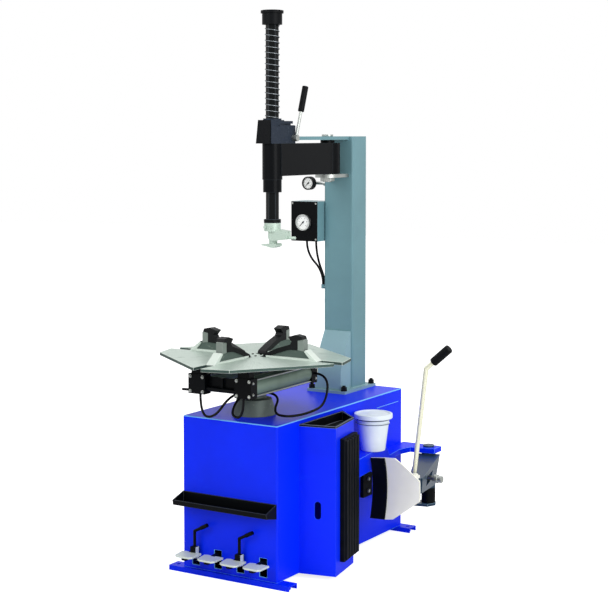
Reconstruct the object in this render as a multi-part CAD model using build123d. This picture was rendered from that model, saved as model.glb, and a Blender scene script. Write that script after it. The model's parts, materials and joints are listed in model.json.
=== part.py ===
"""Swing-arm tyre changer: a sheet-steel cabinet with a turning clamp table, a column with a
swinging tool arm, four pedals and a bead breaker.  Millimetres, +Z up, operator at -Y."""
from build123d import *
import os
from math import atan2, cos, degrees, hypot, pi, radians, sin, sqrt, tan

os.makedirs("parts", exist_ok=True)

# ---------------------------------------------------------------- driving dimensions
# clearances
RUN = 0.05            # radial running clearance of a shaft in its bore
GAP = 0.3             # gap between faces that slide past each other

# foot bars and cabinet
BAR_END = 22.0        # from an anchor hole to the bar's end
BAR_WIDTH = 50.0
BAR_HEIGHT = 17.0
BAR_SHEET = 4.0
BAR_SPACING = 818.0   # between the two rows of anchor holes
ANCHOR_SPACING = 425.0
ANCHOR_R = 7.0
SLEEVE_WALL = 5.0     # spacer sleeve round each anchor hole
CAB_WIDTH = 368.0
CAB_FRONT = -422.0
CAB_BACK = 416.0
CAB_TOP = 521.0
SHEET = 3.0
CAB_CORNER_R = 6.0
BOTTOM_FLANGE = 20.0

# tower on the right side that carries the wheel pad, and the shelf behind it
TOWER_TOP = 500.0
TOWER_FRONT = -291.0
TOWER_BACK = -10.0
TOWER_OUT_FRONT = (308.0, -266.0)
TOWER_OUT_BACK = (276.0, -96.0)
SHELF_TOP = 322.0
SHELF_SHEET = 4.0
SHELF_RIM = 18.0
LEDGE_TOP = 365.0     # raised stand for the pail
LEDGE_BACK = 165.0
LEDGE_FOOT = 205.0
TRAY_RIM = 7.0
TRAY_DEPTH = 26.0
TRAY_WALL = 3.0
PAD_THICK = 24.0
PAD_BOTTOM = 57.0
PAD_TOP = 460.0
PAD_START = 38.0      # along the wall from its front corner
PAD_END = 166.0
PAD_RIBS = 5

# front tool tray
FTRAY_TOP = 271.0
FTRAY_DEPTH = 62.0
FTRAY_HEIGHT = 38.0
FTRAY_WALL = 3.0

# turntable
TABLE_Y = -275.0
TABLE_TOP = 715.0
TABLE_T = 10.0
TABLE_R = 328.0
SLOT_W = 34.0
SLOT_IN = 30.0
HUB_R = 56.0
HUB_T = 20.0
SHAFT_R = 25.0
GEARBOX_NECK_R = 57.0
COLLAR_R = 74.0
COLLAR_H = 52.0

# jaws and their drive
JAW_HALF = 14.5
STRIP_HALF = 16.5
STRIP_T = 6.0
NECK_HALF = 16.5
NECK_OUT = 236.0
FOOT_W = 62.0
FOOT_T = 9.0
FOOT_IN = 64.0
FOOT_LEN = 92.0
LINK_T = 7.0
CYL_X = 90.0
CYL_Z = 640.0
CYL_R = 31.0
CYL_BORE = 27.0
CAP = 64.0
CAP_T = 34.0
TIE_R = 3.5
TIE_AT = 26.0
CYL_HALF = 200.0
ROD_R = 9.0
CLAMP_STROKE = 50.0

# column and arm
COL_W = 120.0
COL_D = 100.0
COL_FRONT = 272.0
COL_TOP = 1433.0
COL_WALL = 4.0
BASE_T = 10.0
BASE_HALF = 78.0
BASE_FRONT = 186.0
BASE_BACK = 411.0
PIVOT_Y = 195.0
PIN_R = 15.0
PLATE_T = 12.0
LOWER_PLATE_Z = 1288.0
UPPER_PLATE_Z = 1421.0
PLATE_HALF = 43.0
UPPER_PLATE_FRONT = -40.0
UPPER_PLATE_TIP_HALF = 26.0
ARM_BOTTOM = 1302.0
ARM_TOP = 1410.0
ARM_HALF = 37.0
ARM_WALL = 4.0
BARREL_R = 45.0
TOOL_Y = -163.0
SLEEVE_R = 33.5
SLEEVE_BOTTOM = 1290.0
COLLAR_BOTTOM = 1248.0
LOWER_COLLAR_R = 31.0
HEX_AF = 38.0
LOCK_TOP = 1493.0
LOCK_LEDGE = 1467.0
LOCK_HALF = 34.0
LOCK_BACK = -70.0
LOCK_FRONT = -198.0
SHAFT_BOTTOM = 1124.0
CAP_TOP = 1850.0
CAP_H = 47.0
CAP_BOTTOM = CAP_TOP - CAP_H
CAP_R = 33.5
CAP_FLANGE_R = 38.0
SPRING_R = 23.6
WIRE_R = 1.5
SPRING_TURNS = 16
LEVER_PIVOT = (LOCK_HALF, -86.0, 1428.0)

# pedals
PEDAL_PITCH = 88.0
PEDAL_SHIFT = 5.0
PEDAL_PIVOT = (CAB_FRONT + 104.0, 92.0)
PEDAL_SHAFT_R = 8.0
PEDAL_SLOT_W = 28.0
PEDAL_SLOT_Z = (30.0, 90.0)
PEDAL_ARM_W = 16.0
PEDAL_ARM_DX = -6.0   # lever from the middle of its foot plate
PEDAL_PLATE_Z = 72.0
PEDAL_TIP = CAB_FRONT - 84.0
TOE_ROD_PEDALS = (0, 2)
TOE_ROD_R = 5.0
TOE_BEND_Z = 148.0
TOE_REACH = (51.0, 26.0)

# bead breaker
BEAD_PIVOT = (302.0, 400.0)
BEAD_PIN_R = 14.0
BEAD_BARREL_R = 25.0
BEAD_END = (418.0, 72.0)
BEAD_ROD_Y = 240.0
BEAD_ROD_Z = 250.0
BEAD_ROD_R = 9.0
BEAD_CYL_R = 92.0
BEAD_CYL_BORE = 86.0
BEAD_CYL_X = (-70.0, 130.0)
BLADE_T = 7.0

# pressure gauges
BOX_W = 110.0
BOX_Z = (1056.0, 1199.0)
BOX_FRONT = 228.0
BOX_DEPTH = 92.0
GAUGE_R = 29.0
SMALL_GAUGE_R = 24.0
SMALL_GAUGE = (-116.0, 250.0, 1264.0)
PIPE_Y = COL_FRONT + 22.0

# bucket
BUCKET_X = 256.0
BUCKET_Y = 73.0
BUCKET_H = 123.0
LID_R = 66.0
BUCKET_TOP_R = 57.0
BUCKET_BOTTOM_R = 41.0

HOSE_R = 4.0


# ---------------------------------------------------------------- helpers
def block(x0, x1, y0, y1, z0, z1):
    """Box between two corners."""
    return Pos((x0 + x1) / 2, (y0 + y1) / 2, (z0 + z1) / 2) * Box(x1 - x0, y1 - y0, z1 - z0)


def disc(x, y, z0, z1, r):
    """Upright cylinder."""
    return Pos(x, y, (z0 + z1) / 2) * Cylinder(r, z1 - z0)


def bar_x(y, z, x0, x1, r):
    """Cylinder along X."""
    return Pos((x0 + x1) / 2, y, z) * Rot(0, 90, 0) * Cylinder(r, x1 - x0)


def bar_y(x, z, y0, y1, r):
    """Cylinder along Y."""
    return Pos(x, (y0 + y1) / 2, z) * Rot(90, 0, 0) * Cylinder(r, y1 - y0)


def rod(p, q, r):
    """Cylinder from point p to point q."""
    a, b = Vector(*p), Vector(*q)
    return Plane(origin=(a + b) / 2, z_dir=b - a) * Cylinder(r, (b - a).length)


def prism(points, z0, z1):
    """Upright prism over a plan outline."""
    face = Plane(origin=(0, 0, z0)) * make_face(Polyline(*points, close=True))
    return extrude(face, amount=z1 - z0, dir=(0, 0, 1))


def side_prism(points, x0, x1):
    """Prism along X over an outline given as (y, z)."""
    face = make_face(Polyline(*[(x0, y, z) for y, z in points], close=True))
    return extrude(face, amount=x1 - x0, dir=(1, 0, 0))


def front_prism(points, y0, y1):
    """Prism along Y over an outline given as (x, z)."""
    face = make_face(Polyline(*[(x, y0, z) for x, z in points], close=True))
    return extrude(face, amount=y1 - y0, dir=(0, 1, 0))


def turned(solid, angle):
    """Copy of a solid turned about the table axis."""
    return Pos(0, TABLE_Y, 0) * Rot(0, 0, angle) * solid


def save(name, *solids):
    """Write one sub-part; several solids stay separate in one file."""
    found = []
    for s in solids:
        found += list(s.solids())
    export_step(found[0] if len(found) == 1 else Compound(children=found), f"parts/{name}.step")


# ---------------------------------------------------------------- derived places
HALF = CAB_WIDTH / 2
WALL_IN = HALF - SHEET
TOP_IN = CAB_TOP - SHEET
WALL_ANGLE = degrees(atan2(TOWER_OUT_FRONT[0] - TOWER_OUT_BACK[0], TOWER_OUT_BACK[1] - TOWER_OUT_FRONT[1]))
SHELF_LOW = SHELF_TOP - SHELF_RIM
BAR_LENGTH = ANCHOR_SPACING + 2 * BAR_END
HEX_R = HEX_AF / 2 / cos(pi / 6)
TABLE_BOTTOM = TABLE_TOP - TABLE_T
FOOT_TOP = TABLE_BOTTOM - GAP
FOOT_BOTTOM = FOOT_TOP - FOOT_T
LINK_TOP = TABLE_BOTTOM - HUB_T - GAP
COUPLING_R = 40.0
COUPLING_Z = (576.0, 614.0)
PORT_Z = (COUPLING_Z[0] + COUPLING_Z[1]) / 2
PORT_X = (-22.0, 12.0)
PORT_REACH = 48.0


def hexagon(across_flats, z0, z1, x=0.0, y=0.0):
    """Upright hexagonal bar with corners towards +Y and -Y."""
    r = across_flats / 2 / cos(pi / 6)
    corners = [(k + 0.5) * pi / 3 for k in range(6)]
    return prism([(x + r * cos(a), y + r * sin(a)) for a in corners], z0, z1)


def wall_piece(solid):
    """Place a solid built with X outwards and Y along the tower's outer wall."""
    return Pos(TOWER_OUT_FRONT[0], TOWER_OUT_FRONT[1], 0) * Rot(0, 0, WALL_ANGLE) * solid


def inset(points, amount, z0, z1):
    """Prism over a plan outline moved in (negative) or out (positive)."""
    face = make_face(Polyline(*points, close=True))
    return extrude(Pos(0, 0, z0) * offset(face, amount=amount, kind=Kind.INTERSECTION), amount=z1 - z0)


TOWER_PLAN = [(HALF, TOWER_FRONT), TOWER_OUT_FRONT, TOWER_OUT_BACK, (HALF, TOWER_BACK)]


def pedal_x(k):
    """Centre of pedal k, counted from the left."""
    return PEDAL_SHIFT + (k - 1.5) * PEDAL_PITCH


def pedal_arm_x(k):
    """Centre of pedal k's lever."""
    return pedal_x(k) + PEDAL_ARM_DX


# ---------------------------------------------------------------- base and cabinet
def foot_bar(y):
    """Folded channel, open at the bottom, with a spacer sleeve round each anchor hole."""
    bar = block(-BAR_LENGTH / 2, BAR_LENGTH / 2, y - BAR_WIDTH / 2, y + BAR_WIDTH / 2, 0, BAR_HEIGHT)
    bar -= block(-BAR_LENGTH / 2 - 1, BAR_LENGTH / 2 + 1, y - BAR_WIDTH / 2 + BAR_SHEET,
                 y + BAR_WIDTH / 2 - BAR_SHEET, -1, BAR_HEIGHT - BAR_SHEET)
    for x in (-ANCHOR_SPACING / 2, ANCHOR_SPACING / 2):
        bar += disc(x, y, 0, BAR_HEIGHT, ANCHOR_R + SLEEVE_WALL)
        bar -= disc(x, y, -1, BAR_HEIGHT + 1, ANCHOR_R)
    return bar


COVER_Y = (-190.0, 190.0)
COVER_Z = (120.0, 430.0)
ROD_HOLE_R = 16.0


def cabinet():
    """Folded steel cabinet, open underneath."""
    box = block(-HALF, HALF, CAB_FRONT, CAB_BACK, BAR_HEIGHT, CAB_TOP)
    box = fillet(box.edges().filter_by(Axis.Z), CAB_CORNER_R)
    box = fillet(box.faces().sort_by(Axis.Z)[-1].edges(), CAB_CORNER_R * 0.6)
    box -= block(-WALL_IN, WALL_IN, CAB_FRONT + SHEET, CAB_BACK - SHEET, BAR_HEIGHT + SHEET, TOP_IN)
    box -= block(-WALL_IN + BOTTOM_FLANGE, WALL_IN - BOTTOM_FLANGE, CAB_FRONT + SHEET + BOTTOM_FLANGE,
                 CAB_BACK - SHEET - BOTTOM_FLANGE, BAR_HEIGHT - 1, BAR_HEIGHT + SHEET + 1)
    box -= disc(0, TABLE_Y, TOP_IN - 1, CAB_TOP + 1, GEARBOX_NECK_R + GAP)
    for k in range(4):
        x = pedal_arm_x(k)
        box -= block(x - PEDAL_SLOT_W / 2, x + PEDAL_SLOT_W / 2, CAB_FRONT - 1, CAB_FRONT + SHEET + 1,
                     PEDAL_SLOT_Z[0], PEDAL_SLOT_Z[1])
    box -= bar_x(BEAD_ROD_Y, BEAD_ROD_Z, WALL_IN - 1, HALF + 1, ROD_HOLE_R)
    box -= block(-HALF - 1, -WALL_IN + 1, COVER_Y[0], COVER_Y[1], COVER_Z[0], COVER_Z[1])
    return box


def service_cover():
    """Screwed-on cover over the opening in the left-hand wall, louvred for the motor."""
    cover = block(-HALF - 2, -HALF, COVER_Y[0] - 14, COVER_Y[1] + 14, COVER_Z[0] - 14, COVER_Z[1] + 14)
    for k in range(6):
        z = COVER_Z[0] + 50 + k * 14
        cover -= block(-HALF - 3, -HALF + 1, -60, 60, z, z + 5)
    screws = [bar_x(y, z, -HALF - 5, -HALF - 2, 5)
              for y in (COVER_Y[0] - 7, COVER_Y[1] + 7) for z in (COVER_Z[0] - 7, COVER_Z[1] + 7)]
    for s in screws:
        cover += s
    return cover


def side_housing():
    """Hollow tower on the right side, closed on top by its tray, that carries the wheel pad."""
    box = prism(TOWER_PLAN, BAR_HEIGHT, TOWER_TOP)
    box -= inset(TOWER_PLAN, -SHEET, BAR_HEIGHT - 1, TOWER_TOP + 1)
    slot_x = (HALF + TOWER_OUT_FRONT[0]) / 2 + 1
    slot_r, slot_z = 11.0, (211.0, 247.0)
    slot = bar_y(slot_x, slot_z[0], TOWER_FRONT - 5, TOWER_FRONT + 30, slot_r)
    slot += bar_y(slot_x, slot_z[1], TOWER_FRONT - 5, TOWER_FRONT + 30, slot_r)
    slot += block(slot_x - slot_r, slot_x + slot_r, TOWER_FRONT - 5, TOWER_FRONT + 30, slot_z[0], slot_z[1])
    return box - slot


def side_tray():
    """Plastic tray that drops into the top of the tower."""
    tray = prism(TOWER_PLAN, TOWER_TOP, TOWER_TOP + TRAY_RIM)
    tray += inset(TOWER_PLAN, -SHEET - 1, TOWER_TOP - TRAY_DEPTH, TOWER_TOP)
    tray -= inset(TOWER_PLAN, -SHEET - 1 - TRAY_WALL, TOWER_TOP - TRAY_DEPTH + TRAY_WALL,
                  TOWER_TOP + TRAY_RIM + 1)
    return tray


def wheel_pad():
    """Ribbed rubber block that the tyre is pressed against."""
    pitch = (PAD_END - PAD_START) / PAD_RIBS
    pad = block(0, PAD_THICK - 8, PAD_START, PAD_END, PAD_BOTTOM, PAD_TOP)
    for k in range(PAD_RIBS):
        y = PAD_START + (k + 0.5) * pitch
        pad += block(PAD_THICK - 9, PAD_THICK, y - pitch * 0.34, y + pitch * 0.34, PAD_BOTTOM + 6, PAD_TOP - 6)
    return wall_piece(pad)


BUMPER = ((110.0, 172.0), (182.0, 262.0))      # along Y and Z on the cabinet's wall


def wall_bumper():
    """Rubber buffer behind the pad, with the heads of its two bolts."""
    (y0, y1), (z0, z1) = BUMPER
    buffer = block(HALF, HALF + 14, y0, y1, z0, z1)
    for z in (z0 + 20, z1 - 18):
        buffer += bar_x((y0 + y1) / 2, z, HALF + 14, HALF + 20, 7)
    return buffer


BRACKET_X = 338.0
BRACKET_FRONT = 366.0
BRACKET_BACK = 430.0
SHELF_EDGE = ((292.0, TOWER_OUT_BACK[1]), (236.0, 300.0))
SHELF_PLAN = [(HALF, TOWER_BACK), TOWER_OUT_BACK, *SHELF_EDGE, (250.0, BRACKET_FRONT - 8),
              (BRACKET_X, BRACKET_FRONT + 8), (BRACKET_X, BRACKET_BACK), (HALF, BRACKET_BACK)]


def side_shelf():
    """Folded shelf with a raised stand for the pail; its thick rear end carries the bead arm's pivot."""
    reach = SHELF_EDGE[0][0] + 1
    shelf = prism(SHELF_PLAN, SHELF_LOW, SHELF_TOP)
    shelf += side_prism([(TOWER_OUT_BACK[1], SHELF_TOP - 1), (TOWER_OUT_BACK[1], LEDGE_TOP), (LEDGE_BACK, LEDGE_TOP),
                         (LEDGE_FOOT, SHELF_TOP - 1)], HALF, reach) & prism(SHELF_PLAN, SHELF_LOW, LEDGE_TOP)
    hollow = side_prism([(TOWER_OUT_BACK[1], SHELF_LOW - 1), (TOWER_OUT_BACK[1], LEDGE_TOP - SHELF_SHEET),
                         (LEDGE_BACK - 2, LEDGE_TOP - SHELF_SHEET), (LEDGE_FOOT - 2, SHELF_TOP - SHELF_SHEET),
                         (BRACKET_FRONT - 20, SHELF_TOP - SHELF_SHEET), (BRACKET_FRONT - 20, SHELF_LOW - 1)],
                        HALF, reach)
    shelf -= hollow & inset(SHELF_PLAN, -SHEET, SHELF_LOW - 1, LEDGE_TOP)
    shelf -= block(-HALF, HALF, CAB_FRONT, CAB_BACK + GAP, 0, SHELF_TOP + 1)
    return shelf - disc(*BEAD_PIVOT, SHELF_LOW - 1, SHELF_TOP + 1, BEAD_PIN_R + RUN)


def front_tray():
    """Folded tool tray across the front."""
    lip, drop = CAB_FRONT - FTRAY_DEPTH, FTRAY_TOP - FTRAY_HEIGHT
    w = FTRAY_WALL
    outer = [(CAB_FRONT, FTRAY_TOP), (lip, FTRAY_TOP - 19), (lip + 4, drop + 2), (lip + 16, drop),
             (CAB_FRONT, drop - 10)]
    inner = [(CAB_FRONT - w, FTRAY_TOP + 9), (lip + w, FTRAY_TOP - 10), (lip + w, FTRAY_TOP - 19),
             (lip + 4 + w, drop + 2 + w), (lip + 16, drop + w), (CAB_FRONT - w, drop - 10 + w)]
    return side_prism(outer, -HALF + 1, HALF - 2) - side_prism(inner, -HALF + 1 + w, HALF - 2 - w)


# ---------------------------------------------------------------- column
def pin_hole(z0, z1):
    return disc(0, PIVOT_Y, z0, z1, PIN_R + RUN)


def column():
    """Square tube with the two welded plates that carry the swing arm."""
    back = COL_FRONT + COL_D
    tube = block(-COL_W / 2, COL_W / 2, COL_FRONT, back, CAB_TOP + BASE_T, COL_TOP)
    tube = fillet(tube.edges().filter_by(Axis.Z), 8)
    tube -= block(-COL_W / 2 + COL_WALL, COL_W / 2 - COL_WALL, COL_FRONT + COL_WALL, back - COL_WALL,
                  CAB_TOP, COL_TOP - COL_WALL)
    lower = prism([(-PLATE_HALF, COL_FRONT), (-PLATE_HALF, PIVOT_Y), (PLATE_HALF, PIVOT_Y),
                   (PLATE_HALF, COL_FRONT)], LOWER_PLATE_Z, LOWER_PLATE_Z + PLATE_T)
    lower += disc(0, PIVOT_Y, LOWER_PLATE_Z, LOWER_PLATE_Z + PLATE_T, PLATE_HALF)
    tip = UPPER_PLATE_TIP_HALF
    upper = prism([(-PLATE_HALF, COL_FRONT), (-PLATE_HALF, PIVOT_Y - 55), (-tip, UPPER_PLATE_FRONT),
                   (tip, UPPER_PLATE_FRONT), (PLATE_HALF, PIVOT_Y - 55), (PLATE_HALF, COL_FRONT)],
                  UPPER_PLATE_Z, UPPER_PLATE_Z + PLATE_T)
    whole = tube + lower + upper
    for x, y, z in HOSE_ENDS:
        whole += disc(x, y, z - 15, z, HOSE_R + 2.5) + bar_x(y, z - 8, x, -COL_W / 2, HOSE_R + 2)
    return whole - pin_hole(LOWER_PLATE_Z - 1, UPPER_PLATE_Z + PLATE_T + 1)


GUSSET_TOP = 735.0
GUSSET_FRONT = 199.0
GUSSET_HALF = 53.0


def column_gusset():
    """Folded stiffener in front of the column's foot."""
    foot = CAB_TOP + BASE_T
    t = 4.0
    outer = [(COL_FRONT, GUSSET_TOP), (COL_FRONT - 6, GUSSET_TOP), (GUSSET_FRONT + 39, GUSSET_TOP - 47),
             (GUSSET_FRONT + 1, foot + 66), (GUSSET_FRONT, foot), (COL_FRONT, foot)]
    inner = [(COL_FRONT + 1, GUSSET_TOP - 12), (COL_FRONT - 5 + t, GUSSET_TOP - 12),
             (GUSSET_FRONT + 39 + t, GUSSET_TOP - 49), (GUSSET_FRONT + 1 + t, foot + 65),
             (GUSSET_FRONT + t, foot - 1), (COL_FRONT + 1, foot - 1)]
    return side_prism(outer, -GUSSET_HALF, GUSSET_HALF) - side_prism(inner, -GUSSET_HALF + t, GUSSET_HALF - t)


BOLT_X = BASE_HALF - 11.5
BOLT_Y = (BASE_FRONT + 14.0, BASE_BACK - 14.0)


def column_base():
    """Foot plate of the column, with a hole for each of its four bolts."""
    plate = block(-BASE_HALF, BASE_HALF, BASE_FRONT, BASE_BACK, CAB_TOP, CAB_TOP + BASE_T)
    for x in (-BOLT_X, BOLT_X):
        for y in BOLT_Y:
            plate -= disc(x, y, CAB_TOP - 1, CAB_TOP + BASE_T + 1, 6.5)
    return plate


def column_bolts():
    """Four bolts: shank, washer and hexagonal head."""
    top = CAB_TOP + BASE_T
    bolts = []
    for x in (-BOLT_X, BOLT_X):
        for y in BOLT_Y:
            bolts.append(disc(x, y, CAB_TOP, top, 6) + disc(x, y, top, top + 2.5, 11)
                         + hexagon(18, top + 2.5, top + 14, x, y) + disc(x, y, top + 14, top + 19, 6))
    return bolts


def arm_pivot_pin():
    """Pin through both plates, with a head on top and a nut below."""
    top = UPPER_PLATE_Z + PLATE_T
    pin = disc(0, PIVOT_Y, LOWER_PLATE_Z - 16, top + 7, PIN_R)
    pin += disc(0, PIVOT_Y, top, top + 7, PIN_R + 5)
    return pin + hexagon(44, LOWER_PLATE_Z - 13, LOWER_PLATE_Z, 0, PIVOT_Y)


# ---------------------------------------------------------------- pressure gauges
BOX_X1 = -COL_W / 2
BOX_X0 = BOX_X1 - BOX_W
FACE_X = BOX_X0 + 55.0
FACE_Z = BOX_Z[1] - 75.0
HOSE_STARTS = [(BOX_X0 + 54.0, BOX_FRONT + 18.0), (BOX_X0 + 66.0, BOX_FRONT + 62.0)]
HOSE_ENDS = [(BOX_X1 - 12.0, 286.0, 897.0), (BOX_X1 - 18.0, 320.0, 842.0)]


def gauge_box():
    """Sheet-metal box welded to the column's left side, open at the front."""
    box = block(BOX_X0, BOX_X1, BOX_FRONT, BOX_FRONT + BOX_DEPTH, *BOX_Z)
    box -= block(BOX_X0 + 2, BOX_X1 - 2, BOX_FRONT - 1, BOX_FRONT + BOX_DEPTH - 2, BOX_Z[0] + 2, BOX_Z[1] - 2)
    for x, y in HOSE_STARTS:
        box += disc(x, y, BOX_Z[0], BOX_Z[0] + 16, HOSE_R + 2.5)
    return box


def gauge_panel():
    """Front plate of the gauge box."""
    panel = block(BOX_X0, BOX_X1, BOX_FRONT - 3, BOX_FRONT, *BOX_Z)
    return panel - bar_y(FACE_X, FACE_Z, BOX_FRONT - 4, BOX_FRONT + 1, 8)


def gauge_case(x, y, z, r, depth):
    """Round case facing -Y with a recessed dial and the needle's pin."""
    case = bar_y(x, z, y, y + depth, r)
    case -= bar_y(x, z, y - 1, y + 5, r - 3.5)
    return case + bar_y(x, z, y + 4, y + 6.5, 1.6)


def gauge_cases():
    """The box gauge, and the small gauge on its pipe beside the column."""
    big = gauge_case(FACE_X, BOX_FRONT - 15, FACE_Z, GAUGE_R, 12) + \
        bar_y(FACE_X, FACE_Z, BOX_FRONT - 4, BOX_FRONT + 14, 7)
    x, y, z = SMALL_GAUGE
    small = gauge_case(x, y, z, SMALL_GAUGE_R, 22)
    pipe = bar_y(x, z, y + 20, PIPE_Y + 6, 6) + bar_x(PIPE_Y, z, x, BOX_X1, 6)
    pipe += bar_x(PIPE_Y, z, BOX_X1 - 12, BOX_X1, 10)
    return [big, small + pipe]


def needle(x, y, z, length):
    """Pointer in front of its dial's pin, at the zero of the scale, down and to the left."""
    blade = front_prism([(-1.2, -6), (1.2, -6), (0.4, length), (-0.4, length)], 2, 3.7)
    blade += bar_y(0, 0, 2, 3.7, 3)
    return Pos(x, y, z) * Rot(0, -135, 0) * blade


# ---------------------------------------------------------------- drive inside the cabinet
WORM = (TABLE_Y + 80.0, 438.0)
MOTOR = (0.0, 225.0)
PULLEY_X = (-152.0, -132.0)
BIG_PULLEY_R = 58.0
SMALL_PULLEY_R = 27.0
PULLEY_SHAFT_R = 9.0
BELT_T = 5.0


def gearbox():
    """Worm gearbox hung under the top, with the cone that carries the table shaft."""
    half, low = 92.0, 392.0
    case = block(-half, half, TABLE_Y - half, TABLE_Y + half + 22, low, TOP_IN)
    case = fillet(case.edges().filter_by(Axis.Z), 14)
    case += disc(0, TABLE_Y, TOP_IN, CAB_TOP, GEARBOX_NECK_R)
    case += Pos(0, TABLE_Y, CAB_TOP + COLLAR_H / 2) * Cone(COLLAR_R, COLLAR_R - 16, COLLAR_H)
    case -= disc(0, TABLE_Y, low + 20, CAB_TOP + COLLAR_H + 1, SHAFT_R + RUN)
    return case - bar_x(*WORM, -half - 1, -half + 60, PULLEY_SHAFT_R + RUN)


def pulley(y, z, r, reach):
    """Grooved pulley on its shaft."""
    x0, x1 = PULLEY_X
    wheel = bar_x(y, z, x0, x1, r + 5) - (bar_x(y, z, x0 + 3, x1 - 3, r + 6) - bar_x(y, z, x0, x1, r))
    return wheel + bar_x(y, z, x1, reach, PULLEY_SHAFT_R)


def motor():
    """Electric motor hung from the cabinet's top by two plates."""
    y, z = MOTOR
    x0, x1, r = -118.0, 112.0, 70.0
    body = bar_x(y, z, x0, x1, r) - bar_x(y, z, x0 - 1, x0 + 40, PULLEY_SHAFT_R + RUN)
    body += block(-40, 40, y - r - 26, y - r + 10, z - 26, z + 26)
    for s in (-1, 1):
        body += block(-50, 50, y + s * 46 - 3, y + s * 46 + 3, z + 48, TOP_IN)
    return body


def belt_loop(grow, x0, x1):
    """Stadium-like solid round both pulleys, grown by a distance."""
    ya, za = WORM
    yb, zb = MOTOR
    ra, rb = BIG_PULLEY_R + grow, SMALL_PULLEY_R + grow
    dist = hypot(yb - ya, zb - za)
    base = atan2(zb - za, yb - ya)
    lean = atan2(sqrt(dist ** 2 - (ra - rb) ** 2), ra - rb)
    pts = []
    for s in (1, -1):
        a = base + s * lean
        pts.append([(ya + ra * cos(a), za + ra * sin(a)), (yb + rb * cos(a), zb + rb * sin(a))])
    web = side_prism([pts[0][0], pts[0][1], pts[1][1], pts[1][0]], x0, x1)
    return web + bar_x(ya, za, x0, x1, ra) + bar_x(yb, zb, x0, x1, rb)


def drive_belt():
    """V-belt from the motor pulley to the worm shaft's pulley."""
    x0, x1 = PULLEY_X[0] + 3 + GAP, PULLEY_X[1] - 3 - GAP
    return belt_loop(GAP + BELT_T, x0, x1) - belt_loop(GAP, x0 - 1, x1 + 1)


def bead_cylinder():
    """Large air cylinder bolted to the right-hand wall."""
    y, z = BEAD_ROD_Y, BEAD_ROD_Z
    x0, x1 = BEAD_CYL_X
    body = bar_x(y, z, x0, x1, BEAD_CYL_R) - bar_x(y, z, x0 + 8, x1 - 8, BEAD_CYL_BORE)
    body += bar_x(y, z, x1, WALL_IN, 38) - bar_x(y, z, x1, WALL_IN, ROD_HOLE_R)
    return body - bar_x(y, z, x1 - 9, x1 + 1, BEAD_ROD_R + RUN)


def bead_rod():
    """Piston, rod, nut and end knob."""
    y, z = BEAD_ROD_Y, BEAD_ROD_Z
    out = rod_nut_x()
    part = bar_x(y, z, 20, 40, BEAD_CYL_BORE - RUN) + bar_x(y, z, 40, out + 30, BEAD_ROD_R)
    part += Pos(out + 7, y, z) * Rot(0, 90, 0) * Cylinder(15, 14)
    return part + bar_x(y, z, out + 14, out + 30, 12)


# ---------------------------------------------------------------- bead breaker arm
ARM_DX = BEAD_END[0] - BEAD_PIVOT[0]
ARM_DY = BEAD_END[1] - BEAD_PIVOT[1]
ARM_LEN = hypot(ARM_DX, ARM_DY)
LUG_Z = (111.0, 121.0)
EYE_Z = (226.0, 288.0)
EYE_R = 19.0
EYE_PIN_R = 9.0


def arm_at(d, side, z):
    """Point at distance d along the bead arm, side to its right, height z."""
    ux, uy = ARM_DX / ARM_LEN, ARM_DY / ARM_LEN
    return (BEAD_PIVOT[0] + ux * d + uy * side, BEAD_PIVOT[1] + uy * d - ux * side, z)


def rod_nut_x():
    """X where the rod's nut stands just clear of the arm's outer face."""
    d = (BEAD_ROD_Y - BEAD_PIVOT[1]) / (ARM_DY / ARM_LEN)
    half = 42 - 18 * d / ARM_LEN
    return BEAD_PIVOT[0] + ARM_DX / ARM_LEN * d + half / abs(ARM_DY / ARM_LEN) + 12


def bead_pivot():
    """Lower lug on the cabinet's wall, and the pivot pin through lug and shelf."""
    x, y = BEAD_PIVOT
    lug = prism([(HALF, y - 65), (x + 14, y - 34), (x + 28, y), (x + 20, y + 20), (HALF, y + 8)], *LUG_Z)
    lug -= disc(x, y, LUG_Z[0] - 1, LUG_Z[1] + 1, BEAD_PIN_R)
    pin = disc(x, y, LUG_Z[0] - 4, SHELF_TOP, BEAD_PIN_R) + disc(x, y, SHELF_TOP, SHELF_TOP + 7, BEAD_PIN_R + 6)
    return [lug, pin]


def bead_arm():
    """Tapered box arm between the pivot barrel and the blade's eye."""
    def ring(d, half_top, half_low, z_low, z_top):
        pts = [arm_at(d, s, z) for s, z in ((-half_top, z_top), (half_top, z_top), (half_low, z_low),
                                            (-half_low, z_low))]
        return make_face(Polyline(*pts, close=True))
    beam = loft([ring(8, 42, 24, 186, 298), ring(ARM_LEN - 14, 24, 20, EYE_Z[0] + 6, EYE_Z[1] - 4)])
    x, y = BEAD_PIVOT
    arm = beam + disc(x, y, LUG_Z[1] + GAP, SHELF_LOW - GAP, BEAD_BARREL_R)
    arm += disc(*BEAD_END, *EYE_Z, EYE_R)
    arm -= disc(x, y, LUG_Z[1] - 1, SHELF_TOP, BEAD_PIN_R + RUN)
    arm -= disc(*BEAD_END, EYE_Z[0] - 1, EYE_Z[1] + 1, EYE_PIN_R + RUN)
    a = degrees(atan2(ARM_DY, ARM_DX))
    d = (BEAD_ROD_Y - BEAD_PIVOT[1]) / (ARM_DY / ARM_LEN)
    px, py, _ = arm_at(d + 12, 0, 0)
    slot = Pos(px, py, BEAD_ROD_Z) * Rot(0, 0, a) * Box(112, 140, 34)
    return arm - slot


HANDLE_FOOT = (392.0, 112.0, 280.0)
HANDLE_BEND = (437.0, 112.0, 654.0)
HANDLE_END = (516.0, 112.0, 723.0)
HANDLE_TOP = tuple(a + (b - a) * 0.33 for a, b in zip(HANDLE_BEND, HANDLE_END))
HANDLE_R = 8.0
GRIP_R = 15.0


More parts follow.
